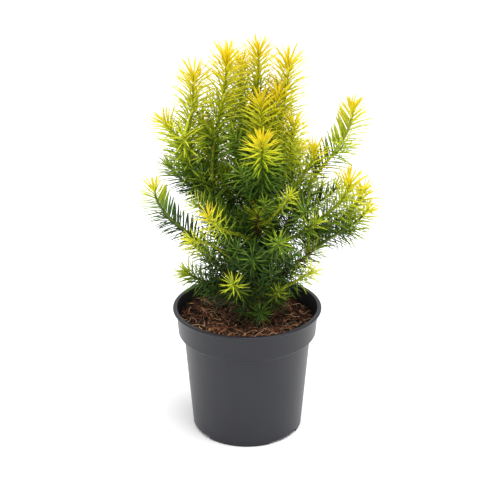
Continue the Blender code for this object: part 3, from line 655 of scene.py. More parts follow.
def clothe(limb, habit, size, youngest, rng, foliage, bare=0.06):
    """Set needles along one stem, from its tip down to its bare foot."""
    frames = side_frames(limb)
    leafy = limb.length * (1 - bare)
    count = max(FEWEST_NEEDLES, round(leafy / habit.spacing))
    turn = rng.uniform(0, 2 * math.pi)
    for index in range(count):
        from_tip = leafy * ((index + FIRST_NEEDLE) / count) ** habit.crowding
        place, along, side, upper = frame_at(frames, 1 - from_tip / limb.length)
        turn += GOLDEN_ANGLE
        around = turn + rng.uniform(*TURN_SPREAD)
        opened = 1 - math.exp(-from_tip / habit.run)
        ranked = share_between(from_tip, *RANKS_FORM)
        for _ in range(habit.rank):
            around -= ranked * RANK_PULL * math.sin(2 * (around - RANK_PLANE))
        out = outwards(side, upper, around)
        length = NEEDLE_LENGTH * size * (habit.tip_length + (1 - habit.tip_length) * opened)
        length *= rng.uniform(*LENGTH_SPREAD)
        from_foot = share_between((leafy - from_tip) / leafy, *FOOT_ZONE)
        length *= FOOT_LENGTH + (1 - FOOT_LENGTH) * from_foot
        width = NEEDLE_WIDTH * habit.width * rng.uniform(*WIDTH_SPREAD) * (0.5 + 0.5 * size)
        opening = habit.tip_opening + (habit.opening - habit.tip_opening) * opened
        opening += rng.uniform(*OPENING_SPREAD) + (1 - opened) * rng.uniform(*TIP_OPENING_SPREAD)
        curl = habit.curl
        roll = rng.gauss(0, ROLL_SPREAD)
        if habit.rank and out.dot(upper) > 0:
            width *= 1 + (UPPER_RANK_WIDTH - 1) * ranked
            curl *= 1 - UPPER_RANK_STRAIGHTER * ranked
            roll += UPPER_RANK_ROLL * ranked
        elif habit.rank:
            width *= 1 + (LOWER_RANK_WIDTH - 1) * ranked
            curl *= 1 + LOWER_RANK_CURL * ranked
        curl = habit.tip_curl + (curl - habit.tip_curl) * opened + rng.uniform(*CURL_SPREAD)
        # The tone holds the needle's ageing and the painted shade deep inside the crown.
        age_and_shade = needle_age_and_shade(from_tip, place, youngest, habit)
        tone = tone_of(age_and_shade + TIP_CONTRAST, rng)
        tip_tone = tone_of(age_and_shade - TIP_CONTRAST, rng)
        turns = [math.radians(angle) for angle in (opening, curl, roll)]
        foliage.add(place, along, out, length, width, *turns, tone, tip_tone)


def fine_twigs(limb, rng, spacing, shortest, longest, first, last):
    """Short leafy twigs all round a limb, each bending upwards."""
    frames = side_frames(limb)
    count = max(1, round(limb.length * (last - first) / spacing))
    turn = rng.uniform(0, 2 * math.pi)
    twigs = []
    for index in range(count):
        share = first + (last - first) * (index + rng.uniform(*FINE_STAGGER)) / count
        place, along, side, upper = frame_at(frames, share)
        turn += GOLDEN_ANGLE + rng.uniform(*FINE_TURN_SPREAD)
        out = outwards(side, upper, turn)
        opening = math.radians(rng.uniform(*FINE_OPENING))
        heading = (along * math.cos(opening) + out * math.sin(opening)).normalized()
        length = rng.uniform(shortest, longest)
        rising = (heading + UP * rng.uniform(*FINE_RISE)).normalized()
        arrival = (heading * FINE_ARRIVAL + UP).normalized()
        path = curved_path(place, heading, place + rising * length, arrival, FINE_TWIG_STATIONS)
        twigs.append(Limb(path, taper(FINE_TWIG_RADIUS, FINE_TWIG_TIP_RADIUS, FINE_TWIG_STATIONS)))
    return twigs


# ---- materials

def srgb(red, green, blue):
    """A colour given as on a screen, 0 to 255, turned into the shader's linear values."""
    values = []
    for channel in (red, green, blue):
        share = channel / 255
        values.append(share / 12.92 if share <= 0.04045 else ((share + 0.055) / 1.055) ** 2.4)
    return (*values, 1.0)


COARSE_DETAIL = 4.0
FINE_DETAIL = 3.0
FINE_GRAIN_SHARE = 0.35
GRAIN_RAMP = (0.36, 0.64)
NEEDLE_GLOW_COLOUR = (1.0, 0.9, 0.3)
NEEDLE_GLOW_DEPTH = 1.2 * MM

# A skin is coarse and fine grain, depth of bumps and specular.
CHIP_SKIN = (300, 1500, 0.2 * MM, 0.3)
FIBRE_SKIN = (300, 1500, 0.1 * MM, 0.3)
STEM_SKIN = (200, 1200, 0.06 * MM, 0.3)

# Low and high colour as on a screen, roughness and skin.
FINISHES = {
    "compost_crumbs": ((16, 11, 8), (45, 31, 23), 0.95, 260, 1500, 0.4 * MM, 0.2),
    "chip_dark": ((24, 16, 12), (56, 38, 28), 0.85, *CHIP_SKIN),
    "chip_red": ((82, 46, 30), (122, 74, 50), 0.8, *CHIP_SKIN),
    "chip_tan": ((150, 98, 62), (205, 152, 104), 0.8, *CHIP_SKIN),
    "chip_rose": ((120, 40, 44), (158, 74, 78), 0.7, *CHIP_SKIN),
    "fibre_brown": ((66, 42, 29), (104, 70, 49), 0.75, *FIBRE_SKIN),
    "fibre_red": ((124, 70, 44), (170, 106, 70), 0.75, *FIBRE_SKIN),
    "fibre_tan": ((194, 144, 102), (236, 196, 152), 0.75, *FIBRE_SKIN),
    "bark": ((66, 36, 24), (120, 74, 48), 0.85, 420, 1800, 0.2 * MM, 0.3),
    "bark_green": ((70, 64, 26), (108, 96, 42), 0.7, 420, 1800, 0.1 * MM, 0.3),
    "stem_gold": ((138, 146, 26), (168, 172, 36), 0.5, *STEM_SKIN),
    "stem_green": ((62, 82, 20), (98, 112, 30), 0.5, *STEM_SKIN),
    "pot_plastic": ((22, 23, 31), (25, 26, 34), 0.4, 25, 1400, 0.02 * MM, 0.4),
    "pot_inside": ((26, 27, 32), (32, 33, 38), 0.55, 25, 1400, 0.02 * MM, 0.3),
}


def set_inputs(node, values):
    for name, value in values.items():
        node.inputs[name].default_value = value


def join(source, leaving, target, entering):
    """A link between two nodes of the same tree."""
    source.id_data.links.new(source.outputs[leaving], target.inputs[entering])


def grain_group():
    """Fine grain of two sizes: a mask for colour and a height for bumps."""
    group = bpy.data.node_groups.new("grain", "ShaderNodeTree")
    for side, names in (("INPUT", ("Coarse Scale", "Fine Scale")), ("OUTPUT", ("Mask", "Height"))):
        for name in names:
            group.interface.new_socket(name, in_out=side, socket_type="NodeSocketFloat")
    kinds = ("GroupInput", "GroupOutput")
    entry, leave = (group.nodes.new(f"Node{kind}") for kind in kinds)
    kinds = ("TexCoord", "TexNoise", "TexNoise", "Math")
    place, coarse, fine, both = (group.nodes.new(f"ShaderNode{kind}") for kind in kinds)
    both.operation = "MULTIPLY_ADD"
    both.inputs[1].default_value = FINE_GRAIN_SHARE
    for grain, detail, scale in ((coarse, COARSE_DETAIL, "Coarse Scale"), (fine, FINE_DETAIL, "Fine Scale")):
        set_inputs(grain, {"Detail": detail})
        join(place, "Object", grain, "Vector")
        join(entry, scale, grain, "Scale")
    join(fine, "Fac", both, 0)
    join(coarse, "Fac", both, 2)
    join(coarse, "Fac", leave, "Mask")
    join(both, "Value", leave, "Height")
    return group


GRAIN = grain_group()


def grained_material(name, low, high, roughness, coarse, fine, bump, specular, subsurface=0.0):
    """A Principled finish whose colour and skin both follow the grain group."""
    material = bpy.data.materials.new(name)
    material.use_nodes = True
    nodes = material.node_tree.nodes
    shader = nodes["Principled BSDF"]
    grain, ramp, relief = (nodes.new(f"ShaderNode{kind}") for kind in ("Group", "ValToRGB", "Bump"))
    grain.node_tree = GRAIN
    for stop, position, colour in zip(ramp.color_ramp.elements, GRAIN_RAMP, (low, high)):
        stop.position = position
        stop.color = colour
    set_inputs(grain, {"Coarse Scale": coarse, "Fine Scale": fine})
    set_inputs(relief, {"Strength": 1.0, "Distance": bump})
    set_inputs(shader, {"Roughness": roughness, "Specular IOR Level": specular})
    join(grain, "Mask", ramp, "Fac")
    join(ramp, "Color", shader, "Base Color")
    join(grain, "Height", relief, "Height")
    join(relief, "Normal", shader, "Normal")
    if subsurface:
        set_inputs(shader, {"Subsurface Weight": subsurface, "Subsurface Radius": NEEDLE_GLOW_COLOUR})
        set_inputs(shader, {"Subsurface Scale": NEEDLE_GLOW_DEPTH})
    MATERIALS[name] = material


TONE_ANCHORS = (
    (0.00, (228, 204, 22)),
    (0.10, (222, 213, 40)),
    (0.24, (204, 210, 44)),
    (0.40, (168, 182, 30)),
    (0.56, (127, 153, 26)),
    (0.72, (88, 121, 23)),
    (0.86, (61, 95, 21)),
    (1.00, (41, 69, 18)),
)


# Roughness, coarse and fine grain, depth of bumps, specular and subsurface.
NEEDLE_FINISH = (0.5, 90, 900, 0.04 * MM, 0.28, 0.3)
DARKER = 0.93
LIGHTER = 1.05


def tone_colour(share):
    """The colour at a share from 0 to 1, between the two anchors that hold it."""
    spans = zip(TONE_ANCHORS, TONE_ANCHORS[1:])
    (low, first), (high, second) = next(span for span in spans if share <= span[1][0])
    part = (share - low) / (high - low)
    return [a + (b - a) * part for a, b in zip(first, second)]


def make_materials():
    for name, (low, high, *skin) in FINISHES.items():
        grained_material(name, srgb(*low), srgb(*high), *skin)
    for index in range(TONE_COUNT):
        colour = tone_colour(index / (TONE_COUNT - 1))
        low = srgb(*(DARKER * c for c in colour))
        high = srgb(*(min(255, LIGHTER * c) for c in colour))
        grained_material(f"needle_tone_{index}", low, high, *NEEDLE_FINISH)


# ---- pot

def pot_profile():
    """Inside floor, up the wall, over the lip and down the outside to the axis."""
    lip_underside = POT_HEIGHT - RIM_THICKNESS
    foot = WALL_FOOT_RADIUS
    points = [
        (0.0, FLOOR_TOP),
        (foot - WALL - CORNER, FLOOR_TOP),
        (foot - WALL - 0.3 * CORNER, FLOOR_TOP + 0.3 * CORNER),
        (foot - WALL, FLOOR_TOP + CORNER),
        (WALL_TOP_RADIUS - WALL, SHOULDER_HEIGHT - WALL),
        (BAND_FOOT_RADIUS - THIN_WALL, BAND_FOOT_HEIGHT),
        (BAND_TOP_RADIUS - THIN_WALL, POT_HEIGHT - 0.9 * MM),
        (BAND_TOP_RADIUS - 0.75 * THIN_WALL, POT_HEIGHT - 0.35 * MM),
        (BAND_TOP_RADIUS, POT_HEIGHT - 0.05 * MM),
        (BAND_TOP_RADIUS + 0.6 * MM, POT_HEIGHT),
    ]
    edge = 0.45 * RIM_THICKNESS
    points += arc(RIM_RADIUS - edge, POT_HEIGHT - edge, edge, edge, 90, -90, 10)
    points += [
        (RIM_RADIUS - edge - 0.4 * MM, lip_underside + 0.1 * MM),
        (BAND_TOP_RADIUS + 0.6 * MM, lip_underside),
        (BAND_TOP_RADIUS + 0.15 * MM, lip_underside - 0.2 * MM),
        (BAND_TOP_RADIUS, lip_underside - 0.8 * MM),
    ]
    points += arc(BAND_FOOT_RADIUS - 1.6 * MM, BAND_FOOT_HEIGHT + 0.2 * MM, 1.6 * MM, 1.6 * MM, 0, -60, 6)
    points += [
        (WALL_TOP_RADIUS + 0.9 * MM, SHOULDER_HEIGHT + 0.7 * MM),
        (WALL_TOP_RADIUS + 0.2 * MM, SHOULDER_HEIGHT - 0.1 * MM),
        (WALL_TOP_RADIUS, SHOULDER_HEIGHT - 1.2 * MM),
    ]
    points += arc(foot - CORNER, CORNER, CORNER, CORNER, 0, -90, 6)
    points += [
        (foot - CORNER - FOOT_RING_WIDTH, 0.0),
        (foot - CORNER - FOOT_RING_WIDTH - 0.6 * WALL, FLOOR_UNDERSIDE),
        (PAD_RADIUS + WALL, FLOOR_UNDERSIDE),
        (PAD_RADIUS, 0.0),
        (0.0, 0.0),
    ]
    return points


def arc(centre_r, centre_z, radius_r, radius_z, first, last, steps):
    """Points of (radius, height) along part of an ellipse, angles from +X to +Z."""
    points = []
    for index in range(steps + 1):
        angle = math.radians(first + (last - first) * index / steps)
        points.append((centre_r + radius_r * math.cos(angle), centre_z + radius_z * math.sin(angle)))
    return points


def evaluated_mesh(thing):
    graph = bpy.context.evaluated_depsgraph_get()
    graph.update()
    return bpy.data.meshes.new_from_object(thing.evaluated_get(graph), depsgraph=graph)


MERGE_DISTANCE = 0.00001
NOTCH_CORNER = 1.4 * MM
NOTCH_CORNER_STEPS = 4
POT_SHARP_EDGE = 35
STEEPEST_FLOOR = 0.5


def turned_blank():
    """The profile, turned about the pot's axis by a modifier."""
    bm = bmesh.new()
    points = [bm.verts.new((radius, 0.0, height)) for radius, height in pot_profile()]
    for first, second in zip(points, points[1:]):
        bm.edges.new((first, second))
    blank = new_object("pot_blank", mesh_of(bm, "pot_blank"))
    screw = blank.modifiers.new("turn", "SCREW")
    screw.steps = POT_SIDES
    screw.render_steps = POT_SIDES
    screw.use_merge_vertices = True
    screw.merge_threshold = MERGE_DISTANCE
    return blank


def notch_cutter(number, angle):
    """A block with rounded corners that stands across the foot ring."""
    bm = bmesh.new()
    bmesh.ops.create_cube(bm, size=1.0)
    depth = 4 * (FOOT_RING_WIDTH + CORNER)
    bmesh.ops.scale(bm, vec=(NOTCH_WIDTH, depth, 2 * NOTCH_HEIGHT), verts=bm.verts)
    inward = [e for e in bm.edges if abs(e.verts[0].co.y - e.verts[1].co.y) > depth / 2]
    bmesh.ops.bevel(
        bm, geom=inward, offset=NOTCH_CORNER, segments=NOTCH_CORNER_STEPS, affect="EDGES", profile=0.5
    )
    cutter = new_object(f"notch_{number}", mesh_of(bm, "notch"))
    turn = math.radians(angle)
    ring_middle = WALL_FOOT_RADIUS - CORNER
    cutter.location = (ring_middle * math.sin(turn), -ring_middle * math.cos(turn), 0.0)
    cutter.rotation_euler = (0.0, 0.0, turn)
    return cutter


def make_pot():
    """The turned pot with its notches cut and a duller finish on the wall inside."""
    blank = turned_blank()
    cutters = [notch_cutter(number, angle) for number, angle in enumerate(NOTCH_ANGLES)]
    for cutter in cutters:
        cut = blank.modifiers.new(cutter.name, "BOOLEAN")
        cut.operation = "DIFFERENCE"
        cut.object = cutter
    mesh = evaluated_mesh(blank)
    for thing in cutters + [blank]:
        bpy.data.objects.remove(thing, do_unlink=True)
    mesh.materials.clear()
    for finish in ("pot_plastic", "pot_inside"):
        mesh.materials.append(MATERIALS[finish])
    for face in mesh.polygons:
        inward = face.normal.x * face.center.x + face.normal.y * face.center.y < 0
        on_wall = face.center.z > FLOOR_TOP and abs(face.normal.z) < STEEPEST_FLOOR
        face.material_index = 1 if inward and on_wall else 0
    smooth_up_to(mesh, POT_SHARP_EDGE)
    pot = new_object("pot_shell", mesh)
    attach(pot, "root")
    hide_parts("pot")


# ---- compost

SOIL_SHARE_OF_BAND = (SOIL_LEVEL - BAND_FOOT_HEIGHT) / (POT_HEIGHT - BAND_FOOT_HEIGHT)
BAND_SPREAD = BAND_TOP_RADIUS - BAND_FOOT_RADIUS
INNER_RADIUS_AT_SOIL = BAND_FOOT_RADIUS + SOIL_SHARE_OF_BAND * BAND_SPREAD - THIN_WALL
SOIL_EDGE = INNER_RADIUS_AT_SOIL - GAP
SOIL_RINGS = 64
SOIL_SIDES = 150
SOIL_SHARP_EDGE = 60

# Crumbs are fractal noise with this roughness, lacunarity and number of octaves.
CRUMB_SIZE = 5 * MM
CRUMB_FRACTAL = (0.6, 2.1, 4)
CRUMB_RELIEF = 1.7 * MM
CELL_SIZE = 3.4 * MM
CELL_RELIEF = 1.6 * MM
CRUMB_LIFT = 0.6 * MM

# Chips: lengths, thickness and lift in mm; width and corners as shares.
CHIP_COUNT = 1700
CHIP_MARGIN = 2.5 * MM
CHIP_SHORTEST = 1.4
CHIP_SPAN = 5.2
CHIP_WIDTH = (0.3, 0.7)
CHIP_THICKNESS = (0.3, 0.8)
CHIP_CORNERS = (0.6, 1.1)
CHIP_TILT = 0.35
CHIP_ROLL = 0.3
CHIP_LIFT = 0.3
CHIP_SHARP_EDGE = 30
CHIP_FINISHES = ("chip_dark", "chip_red", "chip_tan", "compost_crumbs", "chip_rose")
CHIP_MIX = (0, 0, 0, 0, 0, 0, 1, 2, 3, 3)
ROSE_TONE = 4
ROSE_CHIP = (-60, -14)

# Fibres: length, arch and radius in mm.
FIBRE_COUNT = 760
FIBRE_MARGIN = 6 * MM
FIBRE_LENGTH = (8, 32)
FIBRE_ARCH = (0.2, 2.2)
FIBRE_RADIUS = (0.17, 0.4)
FIBRE_BEND = 1.2
FIBRE_WANDER = 0.15
FIBRE_STATIONS = 8
FEWEST_STATIONS = 3
FIBRE_END_MARGIN = 1.5 * MM
FIBRE_LIFT = 0.35 * MM
FIBRE_NARROWING = 0.5
FIBRE_SIDES = 4
FIBRE_SHARP_EDGE = 80
FIBRE_FINISHES = ("fibre_brown", "fibre_red", "fibre_tan")
FIBRE_MIX = (0, 0, 1, 1, 2)


def soil_height(x, y):
    from_trunk = math.hypot(x - TRUNK_FOOT[0] * MM, y - TRUNK_FOOT[1] * MM)
    share = min(1.0, max(0.0, from_trunk / SOIL_LEVEL_RADIUS - 1.0))
    lump = noise.noise(Vector((x / SOIL_GRAIN, y / SOIL_GRAIN, SOIL_SEED_HEIGHT)))
    return SOIL_LEVEL + share * (SOIL_ROUGHNESS * lump - SOIL_TILT * x)


def crumb_height(x, y):
    """The rough surface: broad lumps, crumbs and fine grit."""
    place = Vector((x, y, 0.0))
    crumbs = noise.fractal(place / CRUMB_SIZE, *CRUMB_FRACTAL)
    cells = noise.voronoi(place / CELL_SIZE)[0][0]
    return soil_height(x, y) + CRUMB_RELIEF * crumbs - CELL_RELIEF * cells + CRUMB_LIFT


def make_soil():
    """The surface as a fine disc over a plain block."""
    sides = SOIL_SIDES
    verts = [(0.0, 0.0, crumb_height(0.0, 0.0))]
    for r in range(1, SOIL_RINGS + 1):
        radius = SOIL_EDGE * r / SOIL_RINGS
        for k in range(sides):
            turn = 2 * math.pi * (k + 0.5 * (r % 2)) / sides
            x, y = radius * math.cos(turn), radius * math.sin(turn)
            verts.append((x, y, crumb_height(x, y)))
    faces = [(0, 1 + k, 1 + (k + 1) % sides) for k in range(sides)]
    for r in range(SOIL_RINGS - 1):
        for k in range(sides):
            a = 1 + r * sides + k
            b = 1 + r * sides + (k + 1) % sides
            faces.append((a, a + sides, b + sides, b))
    lower = [
        (BAND_FOOT_RADIUS - WALL, BAND_FOOT_HEIGHT + GAP),
        (WALL_TOP_RADIUS - WALL - 0.4 * MM, SHOULDER_HEIGHT - WALL),
        (WALL_FOOT_RADIUS - WALL - 0.4 * MM, FLOOR_TOP + CORNER),
        (WALL_FOOT_RADIUS - WALL - CORNER - GAP, FLOOR_TOP + GAP),
    ]
    for radius, height in lower:
        start = len(verts) - sides
        for k in range(sides):
            turn = 2 * math.pi * k / sides
            verts.append((radius * math.cos(turn), radius * math.sin(turn), height))
            a, b = start + k, start + (k + 1) % sides
            faces.append((a, a + sides, b + sides, b))
    verts.append((0.0, 0.0, FLOOR_TOP + GAP))
    last = len(verts) - 1 - sides
    faces += [(len(verts) - 1, last + (k + 1) % sides, last + k) for k in range(sides)]
    batch = Batch()
    batch.add(verts, faces)
    soil = batch.build("compost_body", ["compost_crumbs"], SOIL_SHARP_EDGE)
    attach(soil, "root")
    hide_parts("compost")


def strewn_place(rng, margin):
    """A random place on the surface, at least the margin away from its edge."""
    radius = (SOIL_EDGE - margin) * math.sqrt(rng.random())
    turn = rng.uniform(0, 2 * math.pi)
    return radius * math.cos(turn), radius * math.sin(turn)


def make_litter():
    """Chips and fibres, strewn over the surface."""
    rng = random.Random(SEED + 7)
    chips = Batch()
    for _ in range(CHIP_COUNT):
        x, y = strewn_place(rng, CHIP_MARGIN)
        add_chip(chips, rng, Vector((x, y, crumb_height(x, y))), rng.choice(CHIP_MIX))
    x, y = ROSE_CHIP[0] * MM, ROSE_CHIP[1] * MM
    add_chip(chips, random.Random(SEED), Vector((x, y, crumb_height(x, y) + 1 * MM)), ROSE_TONE)
    chip_piece = chips.build("compost_chips", CHIP_FINISHES, CHIP_SHARP_EDGE)
    fibres = Batch()
    for _ in range(FIBRE_COUNT):
        x, y = strewn_place(rng, FIBRE_MARGIN)
        add_fibre(fibres, rng, x, y, rng.choice(FIBRE_MIX))
    fibre_piece = fibres.build("compost_fibres", FIBRE_FINISHES, FIBRE_SHARP_EDGE)
    for piece in (chip_piece, fibre_piece):
        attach(piece, "root")


def add_chip(batch, rng, place, tone):
    """A broken flake of bark: a bent box with jittered corners."""
    long = (CHIP_SHORTEST + CHIP_SPAN * rng.random() ** 2) * MM
    wide = long * rng.uniform(*CHIP_WIDTH)
    thick = rng.uniform(*CHIP_THICKNESS) * MM
    turn = rng.uniform(0, 2 * math.pi)
    tilt = rng.gauss(0, CHIP_TILT)
    a = Vector((math.cos(turn), math.sin(turn), tilt)).normalized()
    b = a.cross(UP).normalized()
    b = (b + UP * rng.gauss(0, CHIP_ROLL)).normalized()
    c = a.cross(b)
    verts = []
    for k in (-1, 1):
        for i, j in ((-1, -1), (1, -1), (1, 1), (-1, 1)):
            spread = rng.uniform(*CHIP_CORNERS)
            point = place + a * i * long / 2 * spread + b * j * wide / 2 * rng.uniform(*CHIP_CORNERS)
            verts.append(tuple(point + c * k * thick / 2 + UP * CHIP_LIFT * MM))
    faces = [(3, 2, 1, 0), (4, 5, 6, 7), (0, 1, 5, 4), (1, 2, 6, 5), (2, 3, 7, 6), (3, 0, 4, 7)]
    if (Vector(verts[4]) - Vector(verts[0])).dot(c) < 0:
        faces = [tuple(reversed(face)) for face in faces]
    batch.add(verts, faces, tone)


def add_fibre(batch, rng, x, y, tone):
    """A bent strand of coir that lies on the surface."""
    length = rng.uniform(*FIBRE_LENGTH) * MM
    turn = rng.uniform(0, 2 * math.pi)
    bend = rng.gauss(0, FIBRE_BEND)
    arch = rng.uniform(*FIBRE_ARCH) * MM
    points = []
    for index in range(FIBRE_STATIONS):
        share = index / (FIBRE_STATIONS - 1)
        if math.hypot(x, y) > SOIL_EDGE - FIBRE_END_MARGIN:
            break
        height = crumb_height(x, y) + FIBRE_LIFT + arch * math.sin(math.pi * share)
        points.append(Vector((x, y, height)))
        x += math.cos(turn) * length / FIBRE_STATIONS
        y += math.sin(turn) * length / FIBRE_STATIONS
        turn += bend / FIBRE_STATIONS + rng.gauss(0, FIBRE_WANDER)
    if len(points) < FEWEST_STATIONS:
        return
    width = rng.uniform(*FIBRE_RADIUS) * MM
    radii = [width * (1 - FIBRE_NARROWING * i / len(points)) for i in range(len(points))]
    verts, faces = tube(Limb(points, radii), FIBRE_SIDES)
    batch.add(verts, faces, tone)


# ---- bark

GREEN_BARK_FROM = 0.4
TRUNK_SINK = 1.2
TRUNK_SIDES = 20
BOUGH_SIDES = 12
BOUGH_FLARE = 0.55
BARK_SHARP_EDGE = 70

# Relief of the bark: its depth and the width of its plates.
TRUNK_RELIEF = (0.28 * MM, 2.4 * MM)
BOUGH_RELIEF = (0.16 * MM, 1.8 * MM)
PLATE_STRETCH = 3
PLATE_FRACTAL = (0.7, 2.2, 3)
PLATE_SHARE = 0.6
CRACK_SHARE = 0.8
CRACK_WIDTH = 0.25
CRACK_FINENESS = 1.7
CRACK_SHIFT = Vector((5.0, 3.0, 1.0))


def bark_relief(depth, scale):
    """Fine plates and shallow cracks that run up the limb."""
    def relief(place):
        stretched = Vector((place.x / scale, place.y / scale, place.z / (PLATE_STRETCH * scale)))
        plates = noise.fractal(stretched, *PLATE_FRACTAL)
        cracks = abs(noise.noise(stretched * CRACK_FINENESS + CRACK_SHIFT))
        return depth * (PLATE_SHARE * plates - CRACK_SHARE * max(0.0, CRACK_WIDTH - cracks) / CRACK_WIDTH)
    return relief


def make_bark(trunk, boughs):
    """Trunk and boughs in one piece; the trunk's foot is sunk into the compost."""
    batch = Batch()
    sunk = Limb([trunk.points[0] - UP * TRUNK_SINK * MM] + trunk.points[1:], trunk.radii)
    batch.add(*tube(sunk, TRUNK_SIDES, bark_relief(*TRUNK_RELIEF)))
    fine = bark_relief(*BOUGH_RELIEF)
    for bough in boughs.values():
        verts, faces = tube(bough, BOUGH_SIDES, fine, BOUGH_FLARE)
        brown = BOUGH_SIDES * round(GREEN_BARK_FROM * len(bough.points))
        batch.add(verts, faces, [0 if index < brown else 1 for index in range(len(faces))])
    bark = batch.build("trunk_and_boughs", ("bark", "bark_green"), BARK_SHARP_EDGE)
    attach(bark, "root")
    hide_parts("trunk", *boughs)


# ---- crown

# Each piece of needles: its slot, and the first and last of its tones.
NEEDLE_GROUPS = {
    "needles_golden": ("golden_needles", 0, 3),
    "needles_yellow_green": ("lime_needles", 4, 7),
    "needles_green": ("green_needles", 8, 11),
    "needles_deep_green": ("green_needles", 12, 13),
    "needles_shaded": ("green_needles", 14, 15),
}
SHOOT_SIDES, TWIG_SIDES, FINE_TWIG_SIDES = 7, 6, 5
STEM_SHARP_EDGE = 70
GOLDEN_STEM_UP_TO = 0.3

# Size of needles against those of the shoot, or against the longest.
TWIG_SIZE = 0.95
FINE_TWIG_SIZE = 0.92
BOUGH_SIZE = 0.8
TRUNK_TWIG_SIZE = 0.82
BOUGH_AGE = 0.5
TRUNK_AGE = 0.3
TRUNK_TWIG_AGE = 0.6
BOUGH_BARE = 0.1
TRUNK_BARE = 0.38


def youngest_on(twig, parent, parent_youngest, parent_habit):
    """A twig's tip is younger than the needles round its foot, most of all outside; their tone holds painted
    shade deep inside the crown.
    """
    foot = twig.points[0]
    from_tip = min((foot - parent.points[-1]).length, parent.length)
    around_foot = needle_age_and_shade(from_tip, foot, parent_youngest, parent_habit)
    return max(0.0, around_foot * AGE_FROM_STEM - AGE_OUTSIDE * outward_share(twig.points[-1]))


def fine_spread(habit):
    """How densely fine twigs stand on a shoot of this habit."""
    if habit in (SHORT_PLUME, SPRAY):
        return FINE_ON_SHORT
    return FINE_ON_COMBS if habit.rank else FINE_ON_SHOOTS


def make_crown(trunk, boughs, shoots):
    """Needles and green stems of all shoots, boughs, twigs and the trunk."""
    rng = random.Random(SEED)
    twigs = {name: side_twigs(stem, rng) for name, (stem, _) in shoots.items()}
    foliage = Foliage()
    stems = Batch()

    def dress(limb, habit, size, youngest, sides):
        clothe(limb, habit, size, youngest, rng, foliage)
        verts, faces = tube(limb, sides)
        golden = youngest < GOLDEN_STEM_UP_TO and habit not in (DARK_COMB, COLUMN)
        stems.add(verts, faces, 0 if golden else 1)

    for name, (stem, (habit, size, glow)) in shoots.items():
        youngest = DULL_TIP * (1 - glow)
        dress(stem, habit, size, youngest, SHOOT_SIDES)
        for twig in twigs[name]:
            dress(twig, FILL, TWIG_SIZE * size, youngest_on(twig, stem, youngest, habit), TWIG_SIDES)
        if habit is COLUMN:
            continue
        for twig in fine_twigs(stem, rng, *fine_spread(habit)):
            age_and_shade = youngest_on(twig, stem, youngest, habit)
            dress(twig, FILL, FINE_TWIG_SIZE * size, age_and_shade, FINE_TWIG_SIDES)
    for name, bough in boughs.items():
        clothe(bough, FILL, BOUGH_SIZE, BOUGH_AGE, rng, foliage, BOUGH_BARE)
        inner = BOUGHS[name][2] <= INNER_BOUGH_REACH
        for twig in fine_twigs(bough, rng, *(FINE_ON_INNER_BOUGHS if inner else FINE_ON_BOUGHS)):
            dress(twig, FILL, BOUGH_SIZE, youngest_on(twig, bough, BOUGH_AGE, FILL), FINE_TWIG_SIDES)
    clothe(trunk, COLUMN, 1.0, TRUNK_AGE, rng, foliage, TRUNK_BARE)
    for twig in fine_twigs(trunk, rng, *FINE_ON_TRUNK):
        age_and_shade = youngest_on(twig, trunk, TRUNK_TWIG_AGE, FILL)
        dress(twig, FILL, TRUNK_TWIG_SIZE, age_and_shade, FINE_TWIG_SIDES)
    stem_piece = stems.build("green_stems", ("stem_gold", "stem_green"), STEM_SHARP_EDGE)
    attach(stem_piece, "root")
    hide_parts(*shoots)
    for name, (slot, first, last) in NEEDLE_GROUPS.items():
        piece = needle_object(name, foliage.of_tones(first, last))
        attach(piece, "root")


# ---- studio

SKY_DIMMING = 0.8
VIEWERS_SIDE = (-1.0, 0.1)
HORIZON_TO_SKY = (0.06, 0.34)
FLOOR_REACH = 8.0
FLOOR_WHITE = (0.98, 0.98, 0.98, 1.0)
FLOOR_ROUGHNESS = 0.9

# Direction, strength and angle of each sun.
KEY_SUN = ((-0.3, 0.2, -1.0), 2.5, 50)
FILL_SUN = ((0.45, 0.35, -1.0), 0.7, 60)
LENS = 92.7
SENSOR_WIDTH = 36.0
CAMERA_PLACE = (0.0028, -1.177, 0.684)
CAMERA_TILT = 67.32


def make_floor():
    bm = bmesh.new()
    bmesh.ops.create_grid(bm, x_segments=1, y_segments=1, size=FLOOR_REACH)
    mesh = mesh_of(bm, "floor")
    floor = new_object("studio_floor", mesh)
    material = bpy.data.materials.new("white_floor")
    material.use_nodes = True
    shader = material.node_tree.nodes["Principled BSDF"]
    set_inputs(shader, {"Base Color": FLOOR_WHITE, "Roughness": FLOOR_ROUGHNESS, "Specular IOR Level": 0.0})
    mesh.materials.append(material)


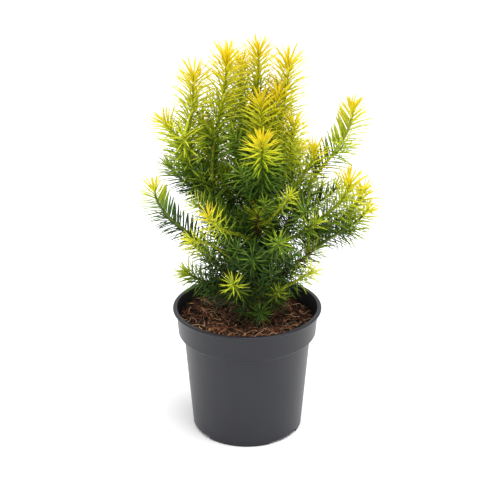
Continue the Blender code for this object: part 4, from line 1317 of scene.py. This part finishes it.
def eased_range(nodes, low, high, first, last):
    """A value that passes smoothly from first to last while its input passes from low to high."""
    ramp = nodes.new("ShaderNodeMapRange")
    ramp.interpolation_type = "SMOOTHSTEP"
    set_inputs(ramp, {"From Min": low, "From Max": high, "To Min": first, "To Max": last})
    return ramp


def sky(world):
    """White all round, and darker high up on the viewer's side, as in a studio."""
    world.use_nodes = True
    nodes = world.node_tree.nodes
    background = nodes["Background"]
    kinds = ("TexCoord", "SeparateXYZ", "Math", "Math")
    place, parts, both, strength = (nodes.new(f"ShaderNode{kind}") for kind in kinds)
    towards = eased_range(nodes, *VIEWERS_SIDE, SKY_DIMMING, 0.0)
    height = eased_range(nodes, *HORIZON_TO_SKY, 0.0, 1.0)
    both.operation = "MULTIPLY"
    strength.operation = "SUBTRACT"
    strength.inputs[0].default_value = 1.0
    join(place, "Generated", parts, "Vector")
    join(parts, "Y", towards, "Value")
    join(parts, "Z", height, "Value")
    join(towards, "Result", both, 0)
    join(height, "Result", both, 1)
    join(both, "Value", strength, 1)
    join(strength, "Value", background, "Strength")
    set_inputs(background, {"Color": (1.0, 1.0, 1.0, 1.0)})


def sun_light(name, towards, strength, angle):
    data = bpy.data.lights.new(name, "SUN")
    data.energy = strength
    data.angle = math.radians(angle)
    light = new_object(name, data)
    light.rotation_euler = Vector(towards).to_track_quat("-Z", "Y").to_euler()


def make_studio():
    """Floor, sky, two suns and the camera."""
    scene = bpy.context.scene
    make_floor()
    scene.world = bpy.data.worlds.new("studio_world")
    sky(scene.world)
    sun_light("key", *KEY_SUN)
    sun_light("fill", *FILL_SUN)
    camera = bpy.data.cameras.new("camera")
    camera.lens = LENS
    camera.sensor_width = SENSOR_WIDTH
    holder = new_object("camera", camera)
    holder.location = CAMERA_PLACE
    holder.rotation_euler = (math.radians(CAMERA_TILT), 0.0, 0.0)
    scene.camera = holder
    scene.view_settings.view_transform = "Standard"


def main():
    make_studio()
    make_materials()
    trunk, boughs, shoots = plan_limbs()
    make_pot()
    make_soil()
    make_litter()
    make_bark(trunk, boughs)
    make_crown(trunk, boughs, shoots)


main()
